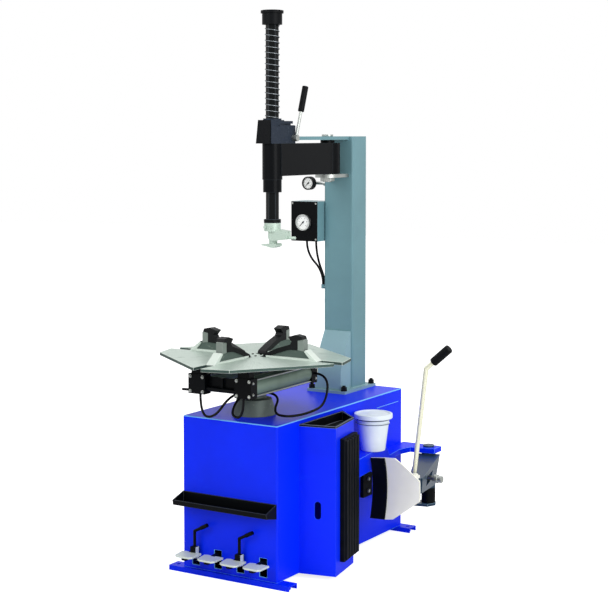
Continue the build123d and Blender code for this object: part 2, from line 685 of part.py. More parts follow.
def bead_handle():
    """Bent steel rod welded to the arm."""
    path = rod(HANDLE_FOOT, HANDLE_BEND, HANDLE_R) + rod(HANDLE_BEND, HANDLE_END, HANDLE_R)
    path += Pos(*HANDLE_BEND) * Sphere(HANDLE_R)
    return path - bead_arm()


def handle_grip():
    """Plastic grip pushed over the end of the rod."""
    a, b = Vector(*HANDLE_TOP), Vector(*HANDLE_END)
    tip = b + (b - a).normalized() * 9
    grip = rod(HANDLE_TOP, tip, GRIP_R) - rod(HANDLE_TOP, HANDLE_END, HANDLE_R)
    return grip


BLADE_X = (281.0, 458.0)
BLADE_SPLIT = 337.0
BLADE_Y = 34.0
BLADE_Z = (142.0, 360.0)
BLADE_ARC = 330.0


def blade_shell(r_in, r_out):
    """Curved plate, hollow side towards the operator, cut to the blade's outline."""
    zc = (BLADE_Z[0] + BLADE_Z[1]) / 2
    x0, x1 = BLADE_X
    yc = BLADE_Y - BLADE_ARC
    ring = bar_x(yc, zc, x0, x1, r_out) - bar_x(yc, zc, x0 - 1, x1 + 1, r_in)
    z0, z1 = BLADE_Z
    outline = front_prism([(x0, z0 + 4), (BLADE_SPLIT, z0 + 6), (x1 - 92, z0 + 10), (x1, z0 + 78),
                           (x1, z1 - 70), (x1 - 84, z1), (BLADE_SPLIT, z1 - 2), (x0, z1 - 8)], yc, BLADE_Y + 60)
    return ring & outline


def bead_blade():
    """Steel blade with two ears that hang it on the arm's eye pin."""
    x, y = BEAD_END
    blade = blade_shell(BLADE_ARC - BLADE_T, BLADE_ARC)
    for z0, z1 in ((EYE_Z[0] - 8 - GAP, EYE_Z[0] - GAP), (EYE_Z[1] + GAP, EYE_Z[1] + 8 + GAP)):
        ear = block(x - 16, x + 16, BLADE_Y - 4, y, z0, z1) + disc(x, y, z0, z1, 16)
        blade += ear
    pin = disc(x, y, EYE_Z[0] - 14, EYE_Z[1] + 14, EYE_PIN_R)
    return blade + pin


def blade_cover():
    """Plastic cover slipped over the blade's working edge."""
    x0 = BLADE_X[0]
    band = block(x0 - 1, BLADE_SPLIT, -400, 400, 0, 700)
    front = blade_shell(BLADE_ARC - BLADE_T - 3.5, BLADE_ARC - BLADE_T) & band
    back = blade_shell(BLADE_ARC, BLADE_ARC + 3.5) & band
    return [front, back]


# ---------------------------------------------------------------- turntable
def petal_outline():
    """Four-fold outline of the table, a chamfered sector between each pair of slots."""
    pts = []
    for k in range(4):
        base = k * 90.0
        for r, a in ((TABLE_R - 14, -5), (TABLE_R, 4), (TABLE_R - 4, 20)):
            pts.append((r * cos(radians(base + a)), TABLE_Y + r * sin(radians(base + a))))
    return pts


def table_plate():
    """Thick plate with four open radial slots."""
    plate = prism(petal_outline(), TABLE_BOTTOM, TABLE_TOP)
    for k in range(4):
        plate -= turned(block(SLOT_IN, TABLE_R + 20, -SLOT_W / 2, SLOT_W / 2, TABLE_BOTTOM - 1, TABLE_TOP + 1),
                        90 * k)
    return plate


def table_hub():
    """Shaft, flange under the plate, and the air coupling's ring."""
    hub = disc(0, TABLE_Y, TABLE_BOTTOM - HUB_T, TABLE_BOTTOM, HUB_R)
    hub += disc(0, TABLE_Y, 420, TABLE_BOTTOM, SHAFT_R)
    hub += disc(0, TABLE_Y, *COUPLING_Z, COUPLING_R)
    for x in PORT_X:
        hub += bar_y(x, PORT_Z, TABLE_Y - PORT_REACH, TABLE_Y, 7)
    return hub + bar_x(TABLE_Y, PORT_Z, 0, PORT_REACH, 7)


def clamp_cylinder(side):
    """One air cylinder: tube, square end caps and the bore for its rod."""
    x = side * CYL_X
    y0, y1 = TABLE_Y - CYL_HALF, TABLE_Y + CYL_HALF
    h = CAP / 2
    body = bar_y(x, CYL_Z, y0, y1, CYL_R)
    for a, b in ((y0, y0 + CAP_T), (y1 - CAP_T, y1)):
        body += block(x - h, x + h, a, b, CYL_Z - h, CYL_Z + h)
    for dx in (-TIE_AT, TIE_AT):
        for dz in (-TIE_AT, TIE_AT):
            body += bar_y(x + dx, CYL_Z + dz, y0 + CAP_T - 1, y1 - CAP_T + 1, TIE_R)
    body -= bar_y(x, CYL_Z, y0 + 12, y1 - 12, CYL_BORE)
    return body - bar_y(x, CYL_Z, y1 - 13, y1 + 1, ROD_R + RUN)


def clamp_rod(side):
    """Piston and rod with a square end; the left one starts run out, the right one run in."""
    x = side * CYL_X
    end = TABLE_Y + CYL_HALF
    out = 34.0 if side > 0 else 34.0 + CLAMP_STROKE
    piston = end - 104 + out
    part = bar_y(x, CYL_Z, piston - 20, piston, CYL_BORE - RUN) + bar_y(x, CYL_Z, piston, end + out, ROD_R)
    return part + block(x - 13, x + 13, end + out - 24, end + out, CYL_Z - 13, CYL_Z + 13)


def cylinder_frame():
    """Cross pieces between the caps and the hangers up to the plate."""
    inner = CYL_X - CAP / 2
    front, back = TABLE_Y - CYL_HALF + 4, TABLE_Y + CYL_HALF - 30
    panel = block(-inner, inner, front + 18, front + 24, CYL_Z - 24, CYL_Z + 24)
    tube = bar_x(front + 9, CYL_Z - 14, -inner, inner, 7)
    post = block(-4, 4, front + 9, front + 19, CYL_Z - 14, CYL_Z + 24)
    pieces = [panel + tube + post, block(-inner, inner, back, back + 26, CYL_Z - 18, CYL_Z + 18)]
    for x in (-CYL_X, CYL_X):
        for y0 in (front, back):
            pieces.append(block(x - 22, x + 22, y0, y0 + 26, CYL_Z + CAP / 2, TABLE_BOTTOM))
    return pieces


def link_plate():
    """Square plate that turns about the table shaft and keeps the four jaws in step."""
    low = LINK_TOP - LINK_T
    plate = block(-54, 54, -54, 54, low, LINK_TOP)
    plate = fillet(plate.edges().filter_by(Axis.Z), 16)
    plate = turned(plate, 45)
    return plate - disc(0, TABLE_Y, low - 1, LINK_TOP + 1, SHAFT_R + RUN)


def jaw(k):
    """Clamping jaw: a steel carriage that slides in the slot, its hooked arm and the clamp block."""
    top = TABLE_TOP + GAP

    def side(points, half):
        return front_prism([(r, top + z) for r, z in points], -half, half)
    slope = [(58, 0), (106, 17.5), (142, 29.5), (176, 32)]
    carriage = side(slope + [(208, 28), (243, 0)], 11)
    carriage += block(56, 238, -STRIP_HALF, STRIP_HALF, top, top + STRIP_T)
    carriage += side([(203, 28), (207, 33), (250, -1), (250, -8), (NECK_OUT, -8)], NECK_HALF)
    carriage += block(FOOT_IN + 6, NECK_OUT, -NECK_HALF, NECK_HALF, FOOT_TOP - 1, top + STRIP_T)
    carriage += block(FOOT_IN, FOOT_IN + FOOT_LEN, -FOOT_W / 2, FOOT_W / 2, FOOT_BOTTOM, FOOT_TOP)
    arm = side([(42, 1), (46, 9), (96, 31), (149, 48), (154, 57), (141, 72), (168, 80), (192, 76), (196, 66),
                (176, 62)] + slope[::-1], JAW_HALF) - carriage
    clamp = side([(176, 31), (176, 62), (196, 66), (200, 64), (200, 28)], 12.5) - carriage
    return [turned(piece, 180 + 90 * k) for piece in (carriage, arm, clamp)]


# ---------------------------------------------------------------- swing arm and tool shaft
def swing_arm():
    """Box arm between the pivot barrel and the sleeve that guides the tool shaft."""
    w = ARM_WALL
    arm = block(-ARM_HALF, ARM_HALF, TOOL_Y, PIVOT_Y, ARM_BOTTOM, ARM_TOP)
    arm -= block(-ARM_HALF + w, ARM_HALF - w, TOOL_Y, PIVOT_Y, ARM_BOTTOM + w, ARM_TOP - w)
    arm += disc(0, TOOL_Y, SLEEVE_BOTTOM, ARM_TOP, SLEEVE_R)
    arm += disc(0, TOOL_Y, COLLAR_BOTTOM, SLEEVE_BOTTOM, LOWER_COLLAR_R)
    arm += disc(0, PIVOT_Y, ARM_BOTTOM, ARM_TOP, BARREL_R)
    arm += disc(0, PIVOT_Y, LOWER_PLATE_Z + PLATE_T + GAP, ARM_BOTTOM, PIN_R + 10)
    arm += disc(0, PIVOT_Y, ARM_TOP, UPPER_PLATE_Z - GAP, PIN_R + 10)
    arm -= pin_hole(LOWER_PLATE_Z, UPPER_PLATE_Z + 1)
    arm -= hexagon(HEX_AF + 2 * RUN, COLLAR_BOTTOM - 1, ARM_TOP + 1, 0, TOOL_Y)
    return arm - disc(0, 0, ARM_BOTTOM - 1, ARM_BOTTOM + w + 1, 6)


def lock_housing():
    """Casting on the arm's end that clamps the shaft, and its front cover; the spring stands on it."""
    h = LOCK_HALF
    chamfer = LOCK_FRONT + 29
    case = prism([(-h, LOCK_FRONT), (h - 15, LOCK_FRONT), (h, chamfer), (h, LOCK_BACK), (-h, LOCK_BACK)],
                 ARM_TOP, LOCK_LEDGE)
    case = fillet(case.edges().filter_by(Axis.Z), 3)
    case += prism([(-h + 6, LOCK_FRONT), (h - 15, LOCK_FRONT), (h - 6, chamfer - 10), (h - 6, TOOL_Y + 30),
                   (-h + 6, TOOL_Y + 30)], LOCK_LEDGE, LOCK_TOP - 5)
    case += disc(0, TOOL_Y, ARM_TOP, LOCK_TOP, SPRING_R + 7)
    case += side_prism([(chamfer, LOCK_LEDGE), (chamfer, LOCK_LEDGE + 4), (LOCK_BACK - 8, LOCK_LEDGE + 4),
                        (LOCK_BACK, LOCK_LEDGE)], 8, h)
    case += block(-8, 24, TOOL_Y + 20, LOCK_BACK - 16, LOCK_LEDGE, LOCK_TOP - 17)
    case += block(-16, 30, TOOL_Y + 4, LOCK_BACK - 12, LOCK_TOP - 17, LOCK_TOP - 8)
    case -= disc(0, TOOL_Y, ARM_TOP - 1, LOCK_TOP + 1, HEX_R + 1)
    case -= block(-h + 5, h - 5, TOOL_Y + 42, LOCK_BACK - 5, ARM_TOP - 1, LOCK_LEDGE - 7)
    y, z = LEVER_PIVOT[1:]
    cover = side_prism([(LOCK_FRONT, LOCK_TOP - 5), (LOCK_FRONT - 13, ARM_TOP), (LOCK_FRONT, ARM_TOP)], -h, h - 17)
    return [case - bar_x(y, z, h - 6, h + 1, 6 + RUN), cover]


LEVER_TIP = (10.0, 42.0, 168.0)


def lock_lever():
    """Hub, pin and rod of the locking lever."""
    x, y, z = LEVER_PIVOT
    hub = bar_x(y, z, x + GAP, x + 18, 11) + bar_x(y, z, x - 8 + 3, x + GAP, 6)
    return hub + rod((x + 11, y, z), (x + 11 + LEVER_TIP[0], y + LEVER_TIP[1], z + LEVER_TIP[2]), 5)


def lock_grip():
    """Plastic grip on the lever."""
    x, y, z = LEVER_PIVOT
    foot = Vector(x + 11, y, z)
    tip = foot + Vector(*LEVER_TIP)
    step = (tip - foot).normalized()
    base = tip - step * 82
    grip = Plane(origin=(base + tip) / 2 + step * 3, z_dir=step) * Cylinder(10.5, 88)
    return grip - Plane(origin=(foot + tip) / 2, z_dir=step) * Cylinder(5, (tip - foot).length)


def tool_shaft():
    """Hexagonal shaft with the stop ring near its lower end."""
    shaft = hexagon(HEX_AF, SHAFT_BOTTOM, CAP_TOP - 14, 0, TOOL_Y)
    return shaft + disc(0, TOOL_Y, SHAFT_BOTTOM + 22, SHAFT_BOTTOM + 34, 28.5)


def shaft_cap():
    """Cap on top of the shaft that holds the spring down."""
    cap = disc(0, TOOL_Y, CAP_BOTTOM, CAP_TOP, CAP_R) + disc(0, TOOL_Y, CAP_TOP - 10, CAP_TOP - 1, CAP_FLANGE_R)
    return cap - hexagon(HEX_AF, CAP_BOTTOM - 1, CAP_TOP - 14, 0, TOOL_Y)


def mount_head():
    """Duck-bill tool: clamping collar, body, neck, curved foot and tail pin."""
    y, z = TOOL_Y, SHAFT_BOTTOM

    def side(points, half):
        return front_prism([(x, z + dz) for x, dz in points], y - half, y + half)
    head = disc(0, y, z - 6, z + 22, 27.5)
    head += side([(-7, -26), (-3, -36), (8, -38), (50, -33), (62, -31), (62, -4), (30, 0), (-6, 0)], 17)
    head += block(-6, 12, y - 12, y + 12, z - 50, z - 34)
    head += side([(-34, -52), (-31, -50), (-12, -50), (0, -48), (22, -46), (27, -50), (25, -56), (12, -61), (2, -60),
                  (-14, -56), (-31, -54)], 19)
    head += bar_x(y, z - 26, 61, 90, 5)
    for s in (-1, 1):
        head += bar_y(s * 11, z + 8, y - 32, y - 20, 4.5)
    return head - hexagon(HEX_AF, z, z + 23, 0, y)


def return_spring():
    """Coil spring round the shaft, between lock housing and cap."""
    z0, z1 = LOCK_TOP + WIRE_R + GAP, CAP_BOTTOM - WIRE_R - GAP
    pitch = (z1 - z0) / SPRING_TURNS
    path = Helix(pitch=pitch, height=z1 - z0, radius=SPRING_R)
    profile = Plane(origin=path @ 0, z_dir=path % 0) * Circle(WIRE_R)
    return Pos(0, TOOL_Y, z0) * sweep(profile, path=path, is_frenet=True)


# ---------------------------------------------------------------- pedals
def pedal(k):
    """Foot plate on its lever; some also carry a bent rod that the toe lifts."""
    py, pz = PEDAL_PIVOT
    x, xa = pedal_x(k), pedal_arm_x(k)
    w = PEDAL_ARM_W / 2
    low = PEDAL_PLATE_Z - 12
    back = CAB_FRONT - 24
    lever = side_prism([(py, pz + 12), (py, pz - 12), (CAB_FRONT + 4, low - 3), (PEDAL_TIP + 14, low),
                        (PEDAL_TIP + 14, PEDAL_PLATE_Z), (back + 6, PEDAL_PLATE_Z + 8),
                        (CAB_FRONT + 12, PEDAL_PLATE_Z + 11)], xa - w, xa + w)
    lever += bar_x(py, pz, xa - 12, xa + 12, 14)
    plan = [(x - 40, back - 6), (x - 34, PEDAL_TIP + 8), (x - 22, PEDAL_TIP), (x + 24, PEDAL_TIP),
            (x + 32, PEDAL_TIP + 10), (x + 32, back), (x - 30, back)]
    whole = lever + prism(plan, PEDAL_PLATE_Z, PEDAL_PLATE_Z + 6)
    if k in TOE_ROD_PEDALS:
        xr, yr = xa + 10, CAB_FRONT - 21
        bend = Vector(xr, yr, TOE_BEND_Z)
        tip = bend + Vector(TOE_REACH[0], 0, TOE_REACH[1])
        whole += block(xa - 2, xr + 10, yr - 9, yr + 9, low, PEDAL_PLATE_Z + 25)
        whole += rod((xr, yr, PEDAL_PLATE_Z), bend, TOE_ROD_R) + Pos(*bend) * Sphere(TOE_ROD_R)
        whole += rod(bend, tip, TOE_ROD_R) + rod((bend + tip) / 2, tip, TOE_ROD_R + 1.5)
    return whole - bar_x(py, pz, xa - 20, xa + 20, PEDAL_SHAFT_R + RUN)


def pedal_frame():
    """Bracket behind the front panel, the pedals' shaft and one air valve behind each lever."""
    py, pz = PEDAL_PIVOT
    front, back = CAB_FRONT + SHEET, py + 46
    frame = block(-174, 178, back - 4, back, 40, 150)
    for x0 in (-174, 174):
        frame += block(x0, x0 + 4, front, back, 60, 130)
    shaft = bar_x(py, pz, -170, 174, PEDAL_SHAFT_R)
    valves = [block(pedal_arm_x(k) - 14, pedal_arm_x(k) + 14, back, back + 70, 70, 110) for k in range(4)]
    return [frame, shaft] + valves


# ---------------------------------------------------------------- bucket
def bucket():
    """Tapered pail for mounting paste."""
    outer = Pos(BUCKET_X, BUCKET_Y, LEDGE_TOP + BUCKET_H / 2) * Cone(BUCKET_BOTTOM_R, BUCKET_TOP_R, BUCKET_H)
    inner = Pos(BUCKET_X, BUCKET_Y, LEDGE_TOP + 3 + BUCKET_H / 2) * Cone(BUCKET_BOTTOM_R - 2, BUCKET_TOP_R - 2,
                                                                         BUCKET_H)
    return outer - inner


def bucket_lid():
    """Press-on lid."""
    top = LEDGE_TOP + BUCKET_H
    lid = disc(BUCKET_X, BUCKET_Y, top - 12, top + 4, LID_R)
    return lid - disc(BUCKET_X, BUCKET_Y, top - 13, top + GAP, BUCKET_TOP_R + GAP)


# ---------------------------------------------------------------- hoses
def hose(name, points):
    """Round hose: straight runs joined by arcs as large as the runs allow."""
    pts = [Vector(*p) for p in points]
    radii = []
    for a, b, c in zip(pts, pts[1:], pts[2:]):
        turn = radians((b - a).get_angle(c - b))
        radii.append(0.45 * min((b - a).length, (c - b).length) / tan(turn / 2))
    path = FilletPolyline(*points, radius=radii)
    tube = sweep(Plane(origin=path @ 0, z_dir=path % 0) * Circle(HOSE_R), path=path)
    print(name, "length", round(path.length), "radii", [round(r) for r in radii],
          "volume ratio", round(tube.volume / (pi * HOSE_R ** 2 * path.length), 4))
    return tube


def on_table(points):
    """Points given from the table's axis."""
    return [(x, TABLE_Y + y, z) for x, y, z in points]


(XA, YA), (XB, YB) = HOSE_STARTS
(XC, YC, ZC), (XD, YD, ZD) = HOSE_ENDS
CAP_LOW = CYL_Z - CAP / 2
HOSES = {
    "gauge_hose_1": [(XA, YA, BOX_Z[0]), (XA, YA, 1010), (XC, YC, ZC + 47), (XC, YC, ZC)],
    "gauge_hose_2": [(XB, YB, BOX_Z[0]), (XB, YB, 1000), (XD, YD, ZD + 58), (XD, YD, ZD)],
    "table_hose_1": on_table([(-CYL_X, -178, CAP_LOW), (-CYL_X, -178, 533), (-34, -176, 533),
                              (PORT_X[0], -110, PORT_Z), (PORT_X[0], -PORT_REACH, PORT_Z)]),
    "table_hose_2": on_table([(CYL_X - 12, -178, CAP_LOW), (CYL_X - 12, -178, 541), (22, -172, 541),
                              (PORT_X[1], -112, PORT_Z), (PORT_X[1], -PORT_REACH, PORT_Z)]),
    "table_hose_3": on_table([(CYL_X + CAP / 2, 183, CYL_Z), (178, 183, CYL_Z), (184, 152, 545),
                              (184, 50, 533), (164, -50, 533), (110, -58, 541), (104, 0, PORT_Z),
                              (PORT_REACH, 0, PORT_Z)]),
}


# ---------------------------------------------------------------- write every sub-part
def main():
    save("foot_bars", foot_bar(-BAR_SPACING / 2), foot_bar(BAR_SPACING / 2))
    save("cabinet", cabinet())
    save("service_cover", service_cover())
    save("side_housing", side_housing())
    save("side_tray", side_tray())
    save("wheel_pad", wheel_pad(), wall_bumper())
    save("side_shelf", side_shelf())
    save("front_tray", front_tray())
    save("column", column())
    save("column_foot", column_base(), column_gusset())
    save("column_bolts", *column_bolts())
    save("arm_pivot_pin", arm_pivot_pin())
    save("gauge_box", gauge_box())
    save("gauge_panel", gauge_panel())
    save("gauge_cases", *gauge_cases())
    save("box_gauge_needle", needle(FACE_X, BOX_FRONT - 15, FACE_Z, 19))
    save("small_gauge_needle", needle(*SMALL_GAUGE, 15))
    save("gearbox", gearbox())
    save("motor", motor())
    save("worm_pulley", pulley(*WORM, BIG_PULLEY_R, -60))
    save("motor_pulley", pulley(*MOTOR, SMALL_PULLEY_R, -90))
    save("drive_belt", drive_belt())
    save("pedal_frame", *pedal_frame())
    save("bead_cylinder", bead_cylinder())
    save("bead_rod", bead_rod())
    save("bead_pivot", *bead_pivot())
    save("bead_arm", bead_arm())
    save("bead_handle", bead_handle())
    save("handle_grip", handle_grip())
    save("bead_blade", bead_blade())
    save("blade_cover", *blade_cover())
    save("table_plate", table_plate())
    save("table_hub", table_hub())
    save("clamp_cylinders", clamp_cylinder(-1), clamp_cylinder(1), *cylinder_frame())
    save("clamp_rod_left", clamp_rod(-1))
    save("clamp_rod_right", clamp_rod(1))
    save("link_plate", link_plate())
    for k in range(4):
        save(f"jaw_{k + 1}", *jaw(k))
        save(f"pedal_{k + 1}", pedal(k))
    save("swing_arm", swing_arm())
    save("lock_housing", *lock_housing())
    save("lock_lever", lock_lever())
    save("lock_grip", lock_grip())
    save("tool_shaft", tool_shaft())
    save("shaft_cap", shaft_cap())
    save("mount_head", mount_head())
    save("return_spring", return_spring())
    save("bucket", bucket())
    save("bucket_lid", bucket_lid())
    for name, points in HOSES.items():
        save(name, hose(name, points))


main()
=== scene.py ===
# %% [markdown]
# # A swing-arm tyre changer
# The machine peels tyres off rims and presses them back on. A wheel lies on the round table,
# four jaws grip it, the tool on the swinging arm is lowered to its rim, and a pedal turns the table.
# Sizes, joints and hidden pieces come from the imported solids. This lesson gives them their surfaces:
# softened edges, paint, ground steel, rubber, dials and screws.

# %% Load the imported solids
import json
import math

import bmesh
import bpy
from mathutils import Matrix, Vector

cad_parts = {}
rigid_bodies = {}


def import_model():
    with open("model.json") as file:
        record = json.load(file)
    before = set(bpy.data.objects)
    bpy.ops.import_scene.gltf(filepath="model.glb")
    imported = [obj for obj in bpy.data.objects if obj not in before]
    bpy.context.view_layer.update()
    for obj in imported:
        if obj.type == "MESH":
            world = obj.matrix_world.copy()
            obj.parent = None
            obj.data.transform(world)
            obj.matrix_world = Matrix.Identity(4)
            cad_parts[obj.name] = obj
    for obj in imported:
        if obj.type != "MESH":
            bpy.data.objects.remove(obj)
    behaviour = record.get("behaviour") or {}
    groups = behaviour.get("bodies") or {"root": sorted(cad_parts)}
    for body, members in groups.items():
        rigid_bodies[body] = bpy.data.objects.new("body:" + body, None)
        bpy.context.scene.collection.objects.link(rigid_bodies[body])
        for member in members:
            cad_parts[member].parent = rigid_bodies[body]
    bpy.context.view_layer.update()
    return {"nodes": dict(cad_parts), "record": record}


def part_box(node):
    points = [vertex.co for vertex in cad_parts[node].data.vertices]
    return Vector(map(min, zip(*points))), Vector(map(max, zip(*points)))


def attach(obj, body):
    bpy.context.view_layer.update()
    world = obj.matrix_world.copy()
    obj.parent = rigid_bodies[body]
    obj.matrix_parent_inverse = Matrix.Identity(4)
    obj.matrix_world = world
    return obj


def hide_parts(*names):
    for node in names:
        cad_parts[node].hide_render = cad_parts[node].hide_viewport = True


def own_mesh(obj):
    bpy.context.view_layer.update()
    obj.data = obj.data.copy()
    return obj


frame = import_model()
body_of_node = {n: b for b, nodes in frame["record"]["behaviour"]["bodies"].items() for n in nodes}

# %% [markdown]
# ## A small language for shaders
# Every finish below is a few lines of arithmetic on noise and on the place of a point. Blender
# stores such arithmetic as Math nodes, one for each sign. Adding and linking each by hand would hide
# the idea, so `Wire` wraps one value of the shader and its operators add the nodes, and `Finish`
# holds the material with one method that adds any other node.

# %% Values that do arithmetic
class Wire:
    """One value of a shader. Arithmetic on it adds Math nodes."""

    def __init__(self, finish, socket):
        self.finish, self.socket = finish, socket

    def math(self, operation, *values):
        return self.finish.node("ShaderNodeMath", {"operation": operation}, values)

    def __add__(self, other):
        return self.math("ADD", self, other)

    def __radd__(self, other):
        return self.math("ADD", other, self)

    def __sub__(self, other):
        return self.math("SUBTRACT", self, other)

    def __rsub__(self, other):
        return self.math("SUBTRACT", other, self)

    def __mul__(self, other):
        return self.math("MULTIPLY", self, other)

    def __rmul__(self, other):
        return self.math("MULTIPLY", other, self)


print("values add, subtract and multiply")

# %% Materials built in sentences
def shade(red, green, blue):
    """A colour as a paint chart gives it, 0 to 255, as the linear colour that shaders use."""
    def linear(v):
        v = v / 255
        return v / 12.92 if v <= 0.04045 else ((v + 0.055) / 1.055) ** 2.4
    return linear(red), linear(green), linear(blue), 1.0


class Finish:
    """A material round one Principled shader."""

    def __init__(self, name, **plain):
        self.material = bpy.data.materials.new(name)
        self.material.use_nodes = True
        self.tree = self.material.node_tree
        self.tree.nodes.clear()
        self.shader = self.tree.nodes.new("ShaderNodeBsdfPrincipled")
        self.surface = self.tree.nodes.new("ShaderNodeOutputMaterial").inputs["Surface"]
        self.tree.links.new(self.shader.outputs[0], self.surface)
        self.place = self.node("ShaderNodeTexCoord", output="Object")
        self.put(**plain)

    def node(self, kind, settings=None, values=(), output=0):
        """Add a node: its settings first, then a value or link for each socket."""
        node = self.tree.nodes.new(kind)
        for key, value in (settings or {}).items():
            setattr(node, key, value)
        pairs = values.items() if isinstance(values, dict) else enumerate(values)
        for key, value in pairs:
            self.join(node.inputs[key], value)
        return Wire(self, node.outputs[output])

    def join(self, socket, value):
        """Link a value of the shader to a socket, or type a plain value into it."""
        if isinstance(value, Wire):
            self.tree.links.new(value.socket, socket)
        else:
            socket.default_value = value

    def put(self, **sockets):
        """Set the Principled shader's sockets by name."""
        for name, value in sockets.items():
            self.join(self.shader.inputs[name.replace("_", " ")], value)

    def stretched(self, x, y, z):
        """The place of a point, stretched before a pattern reads it."""
        return self.node("ShaderNodeVectorMath", {"operation": "MULTIPLY"}, [self.place, (x, y, z)])

    def noise(self, scale, detail=3.0, roughness=0.5, of=None):
        return self.node("ShaderNodeTexNoise", {}, {"Vector": of or self.place, "Scale": scale,
                                                    "Detail": detail, "Roughness": roughness})

    def between(self, low, high, value):
        """0 below low, 1 above high."""
        return self.node("ShaderNodeMapRange", {}, [value, low, high, 0.0, 1.0])

    def blend(self, amount, first, second):
        """Mix of two colours."""
        return self.node("ShaderNodeMix", {"data_type": "RGBA"}, {0: amount, 6: first, 7: second}, output=2)

    def bumps(self, height, strength, distance):
        return self.node("ShaderNodeBump", {}, {"Strength": strength, "Distance": distance, "Height": height})

    def axes(self):
        """X, Y and Z of the place."""
        split = self.node("ShaderNodeSeparateXYZ", {}, [self.place])
        return [Wire(self, s) for s in split.socket.node.outputs]


print("shader helpers ready")

# %% [markdown]
# ## Paint
# The cabinet is sprayed and baked gloss paint. Three things make paint look real: a fine orange-peel
# ripple that breaks up reflections, slow changes of gloss where hands and rags have been, and a few
# dull rubs. One recipe with a colour and a gloss serves every painted piece.

# %% Painted finishes
def painted(name, colour, roughness=0.3, coat=0.35, ripple=0.12, wear=0.25, worn=None, shine=0.35):
    """Sprayed paint: colour, gloss, orange peel and light rubs."""
    f = Finish(name, Coat_Roughness=0.12, Specular_IOR_Level=shine)
    slow = f.noise(3.2, 4.0, 0.6)
    fine = f.noise(520.0, 2.0)
    rub = f.between(0.60, 0.74, f.noise(11.0, 8.0, 0.68, f.stretched(1.0, 1.0, 2.6)))
    deep = tuple(c * 0.86 for c in colour[:3]) + (1.0,)
    base = f.blend(f.between(0.35, 0.7, slow), deep, colour)
    rubbed = worn or tuple(min(1.0, c * 1.12 + 0.018) for c in colour[:3]) + (1.0,)
    f.put(Base_Color=f.blend(rub * wear, base, rubbed),
          Roughness=roughness + slow * 0.08 + rub * 0.16,
          Coat_Weight=coat - rub * coat * 0.6,
          Normal=f.bumps(fine, ripple, 0.0006))
    return f.material


cabinet_blue = painted("cabinet_blue", shade(0, 42, 250), 0.36, 0.06, 0.08, 0.2, shade(10, 76, 252), 0.10)
# Each edge and fold finish below that is lighter than its paint is a painted highlight for a piece's
# roundings.
blue_edge_highlight = painted("blue_edge_highlight", shade(112, 186, 255), 0.34, 0.10, shine=0.2)
blue_fold_highlight = painted("blue_fold_highlight", shade(30, 92, 255), 0.34, 0.10, shine=0.2)
column_grey = painted("column_grey", shade(110, 150, 158), 0.38, 0.12, shine=0.2)
# The column grey made lighter for the column's foot and its weld: painted light falling on the foot.
lit_foot_grey = painted("column_foot_grey", shade(136, 172, 180), 0.38, 0.12, shine=0.2)
grey_edge_highlight = painted("grey_edge_highlight", shade(176, 208, 214), 0.36, 0.12, shine=0.2)
slate = painted("slate_paint", shade(34, 58, 80), 0.36, 0.12, shine=0.2)
slate_edge_highlight = painted("slate_edge_highlight", shade(120, 150, 168), 0.36, 0.12, shine=0.2)
ivory = painted("ivory_enamel", shade(255, 255, 246), 0.30, 0.25, wear=0.0, shine=0.5)
gloss_black = painted("gloss_black", shade(4, 6, 9), 0.38, 0.02, wear=0.3, worn=shade(18, 21, 25), shine=0.07)
black_edge_highlight = painted("black_edge_highlight", shade(52, 58, 64), 0.4, 0.02, shine=0.1)
tray_edge_highlight = painted("tray_edge_highlight", shade(128, 136, 150), 0.36, 0.05, shine=0.2)
pad_edge_highlight = painted("pad_edge_highlight", shade(20, 23, 29), 0.5, 0.0, shine=0.08)
# The blade's edge finish is darker and yellower than the ivory: a painted shade along its rounded edges.
enamel_edge_shade = painted("enamel_edge_shade", shade(224, 226, 190), 0.34, 0.1, shine=0.2)
print("paints:", [m.name for m in bpy.data.materials])

# %% [markdown]
# ## Castings, rubber and plastic
# The jaws and the lock housing are rough castings under thin dark paint, so their bumps are larger
# and patches of them are rubbed towards metal. Rubber and moulded plastic are dull, with a fine grain.

# %% Rough finishes
def cast(name, colour, metal, grain=0.35, metallic=0.0, roughness=0.45):
    """Casting under thin paint, rubbed to metal in patches."""
    f = Finish(name, Specular_IOR_Level=0.2)
    pits = f.noise(240.0, 5.0, 0.65)
    patch = f.between(0.58, 0.70, f.noise(46.0, 6.0, 0.7))
    f.put(Base_Color=f.blend(patch * 0.55, colour, metal), Metallic=metallic + patch * 0.35,
          Roughness=roughness + pits * 0.18 - patch * 0.08, Normal=f.bumps(pits, grain, 0.0012))
    return f.material


def moulded(name, colour, roughness=0.5, grain=0.15, coat=0.0, size=380.0, shine=0.18):
    """Rubber or plastic with a moulded grain and a little dust."""
    f = Finish(name, Coat_Roughness=0.2, Specular_IOR_Level=shine)
    fine = f.noise(size, 3.0, 0.6)
    dust = f.between(0.5, 0.8, f.noise(9.0, 6.0, 0.6))
    pale = tuple(min(1.0, c * 1.25 + 0.012) for c in colour[:3]) + (1.0,)
    f.put(Base_Color=f.blend(dust * 0.6, colour, pale), Roughness=roughness + fine * 0.12 + dust * 0.08,
          Coat_Weight=coat, Normal=f.bumps(fine, grain, 0.0008))
    return f.material


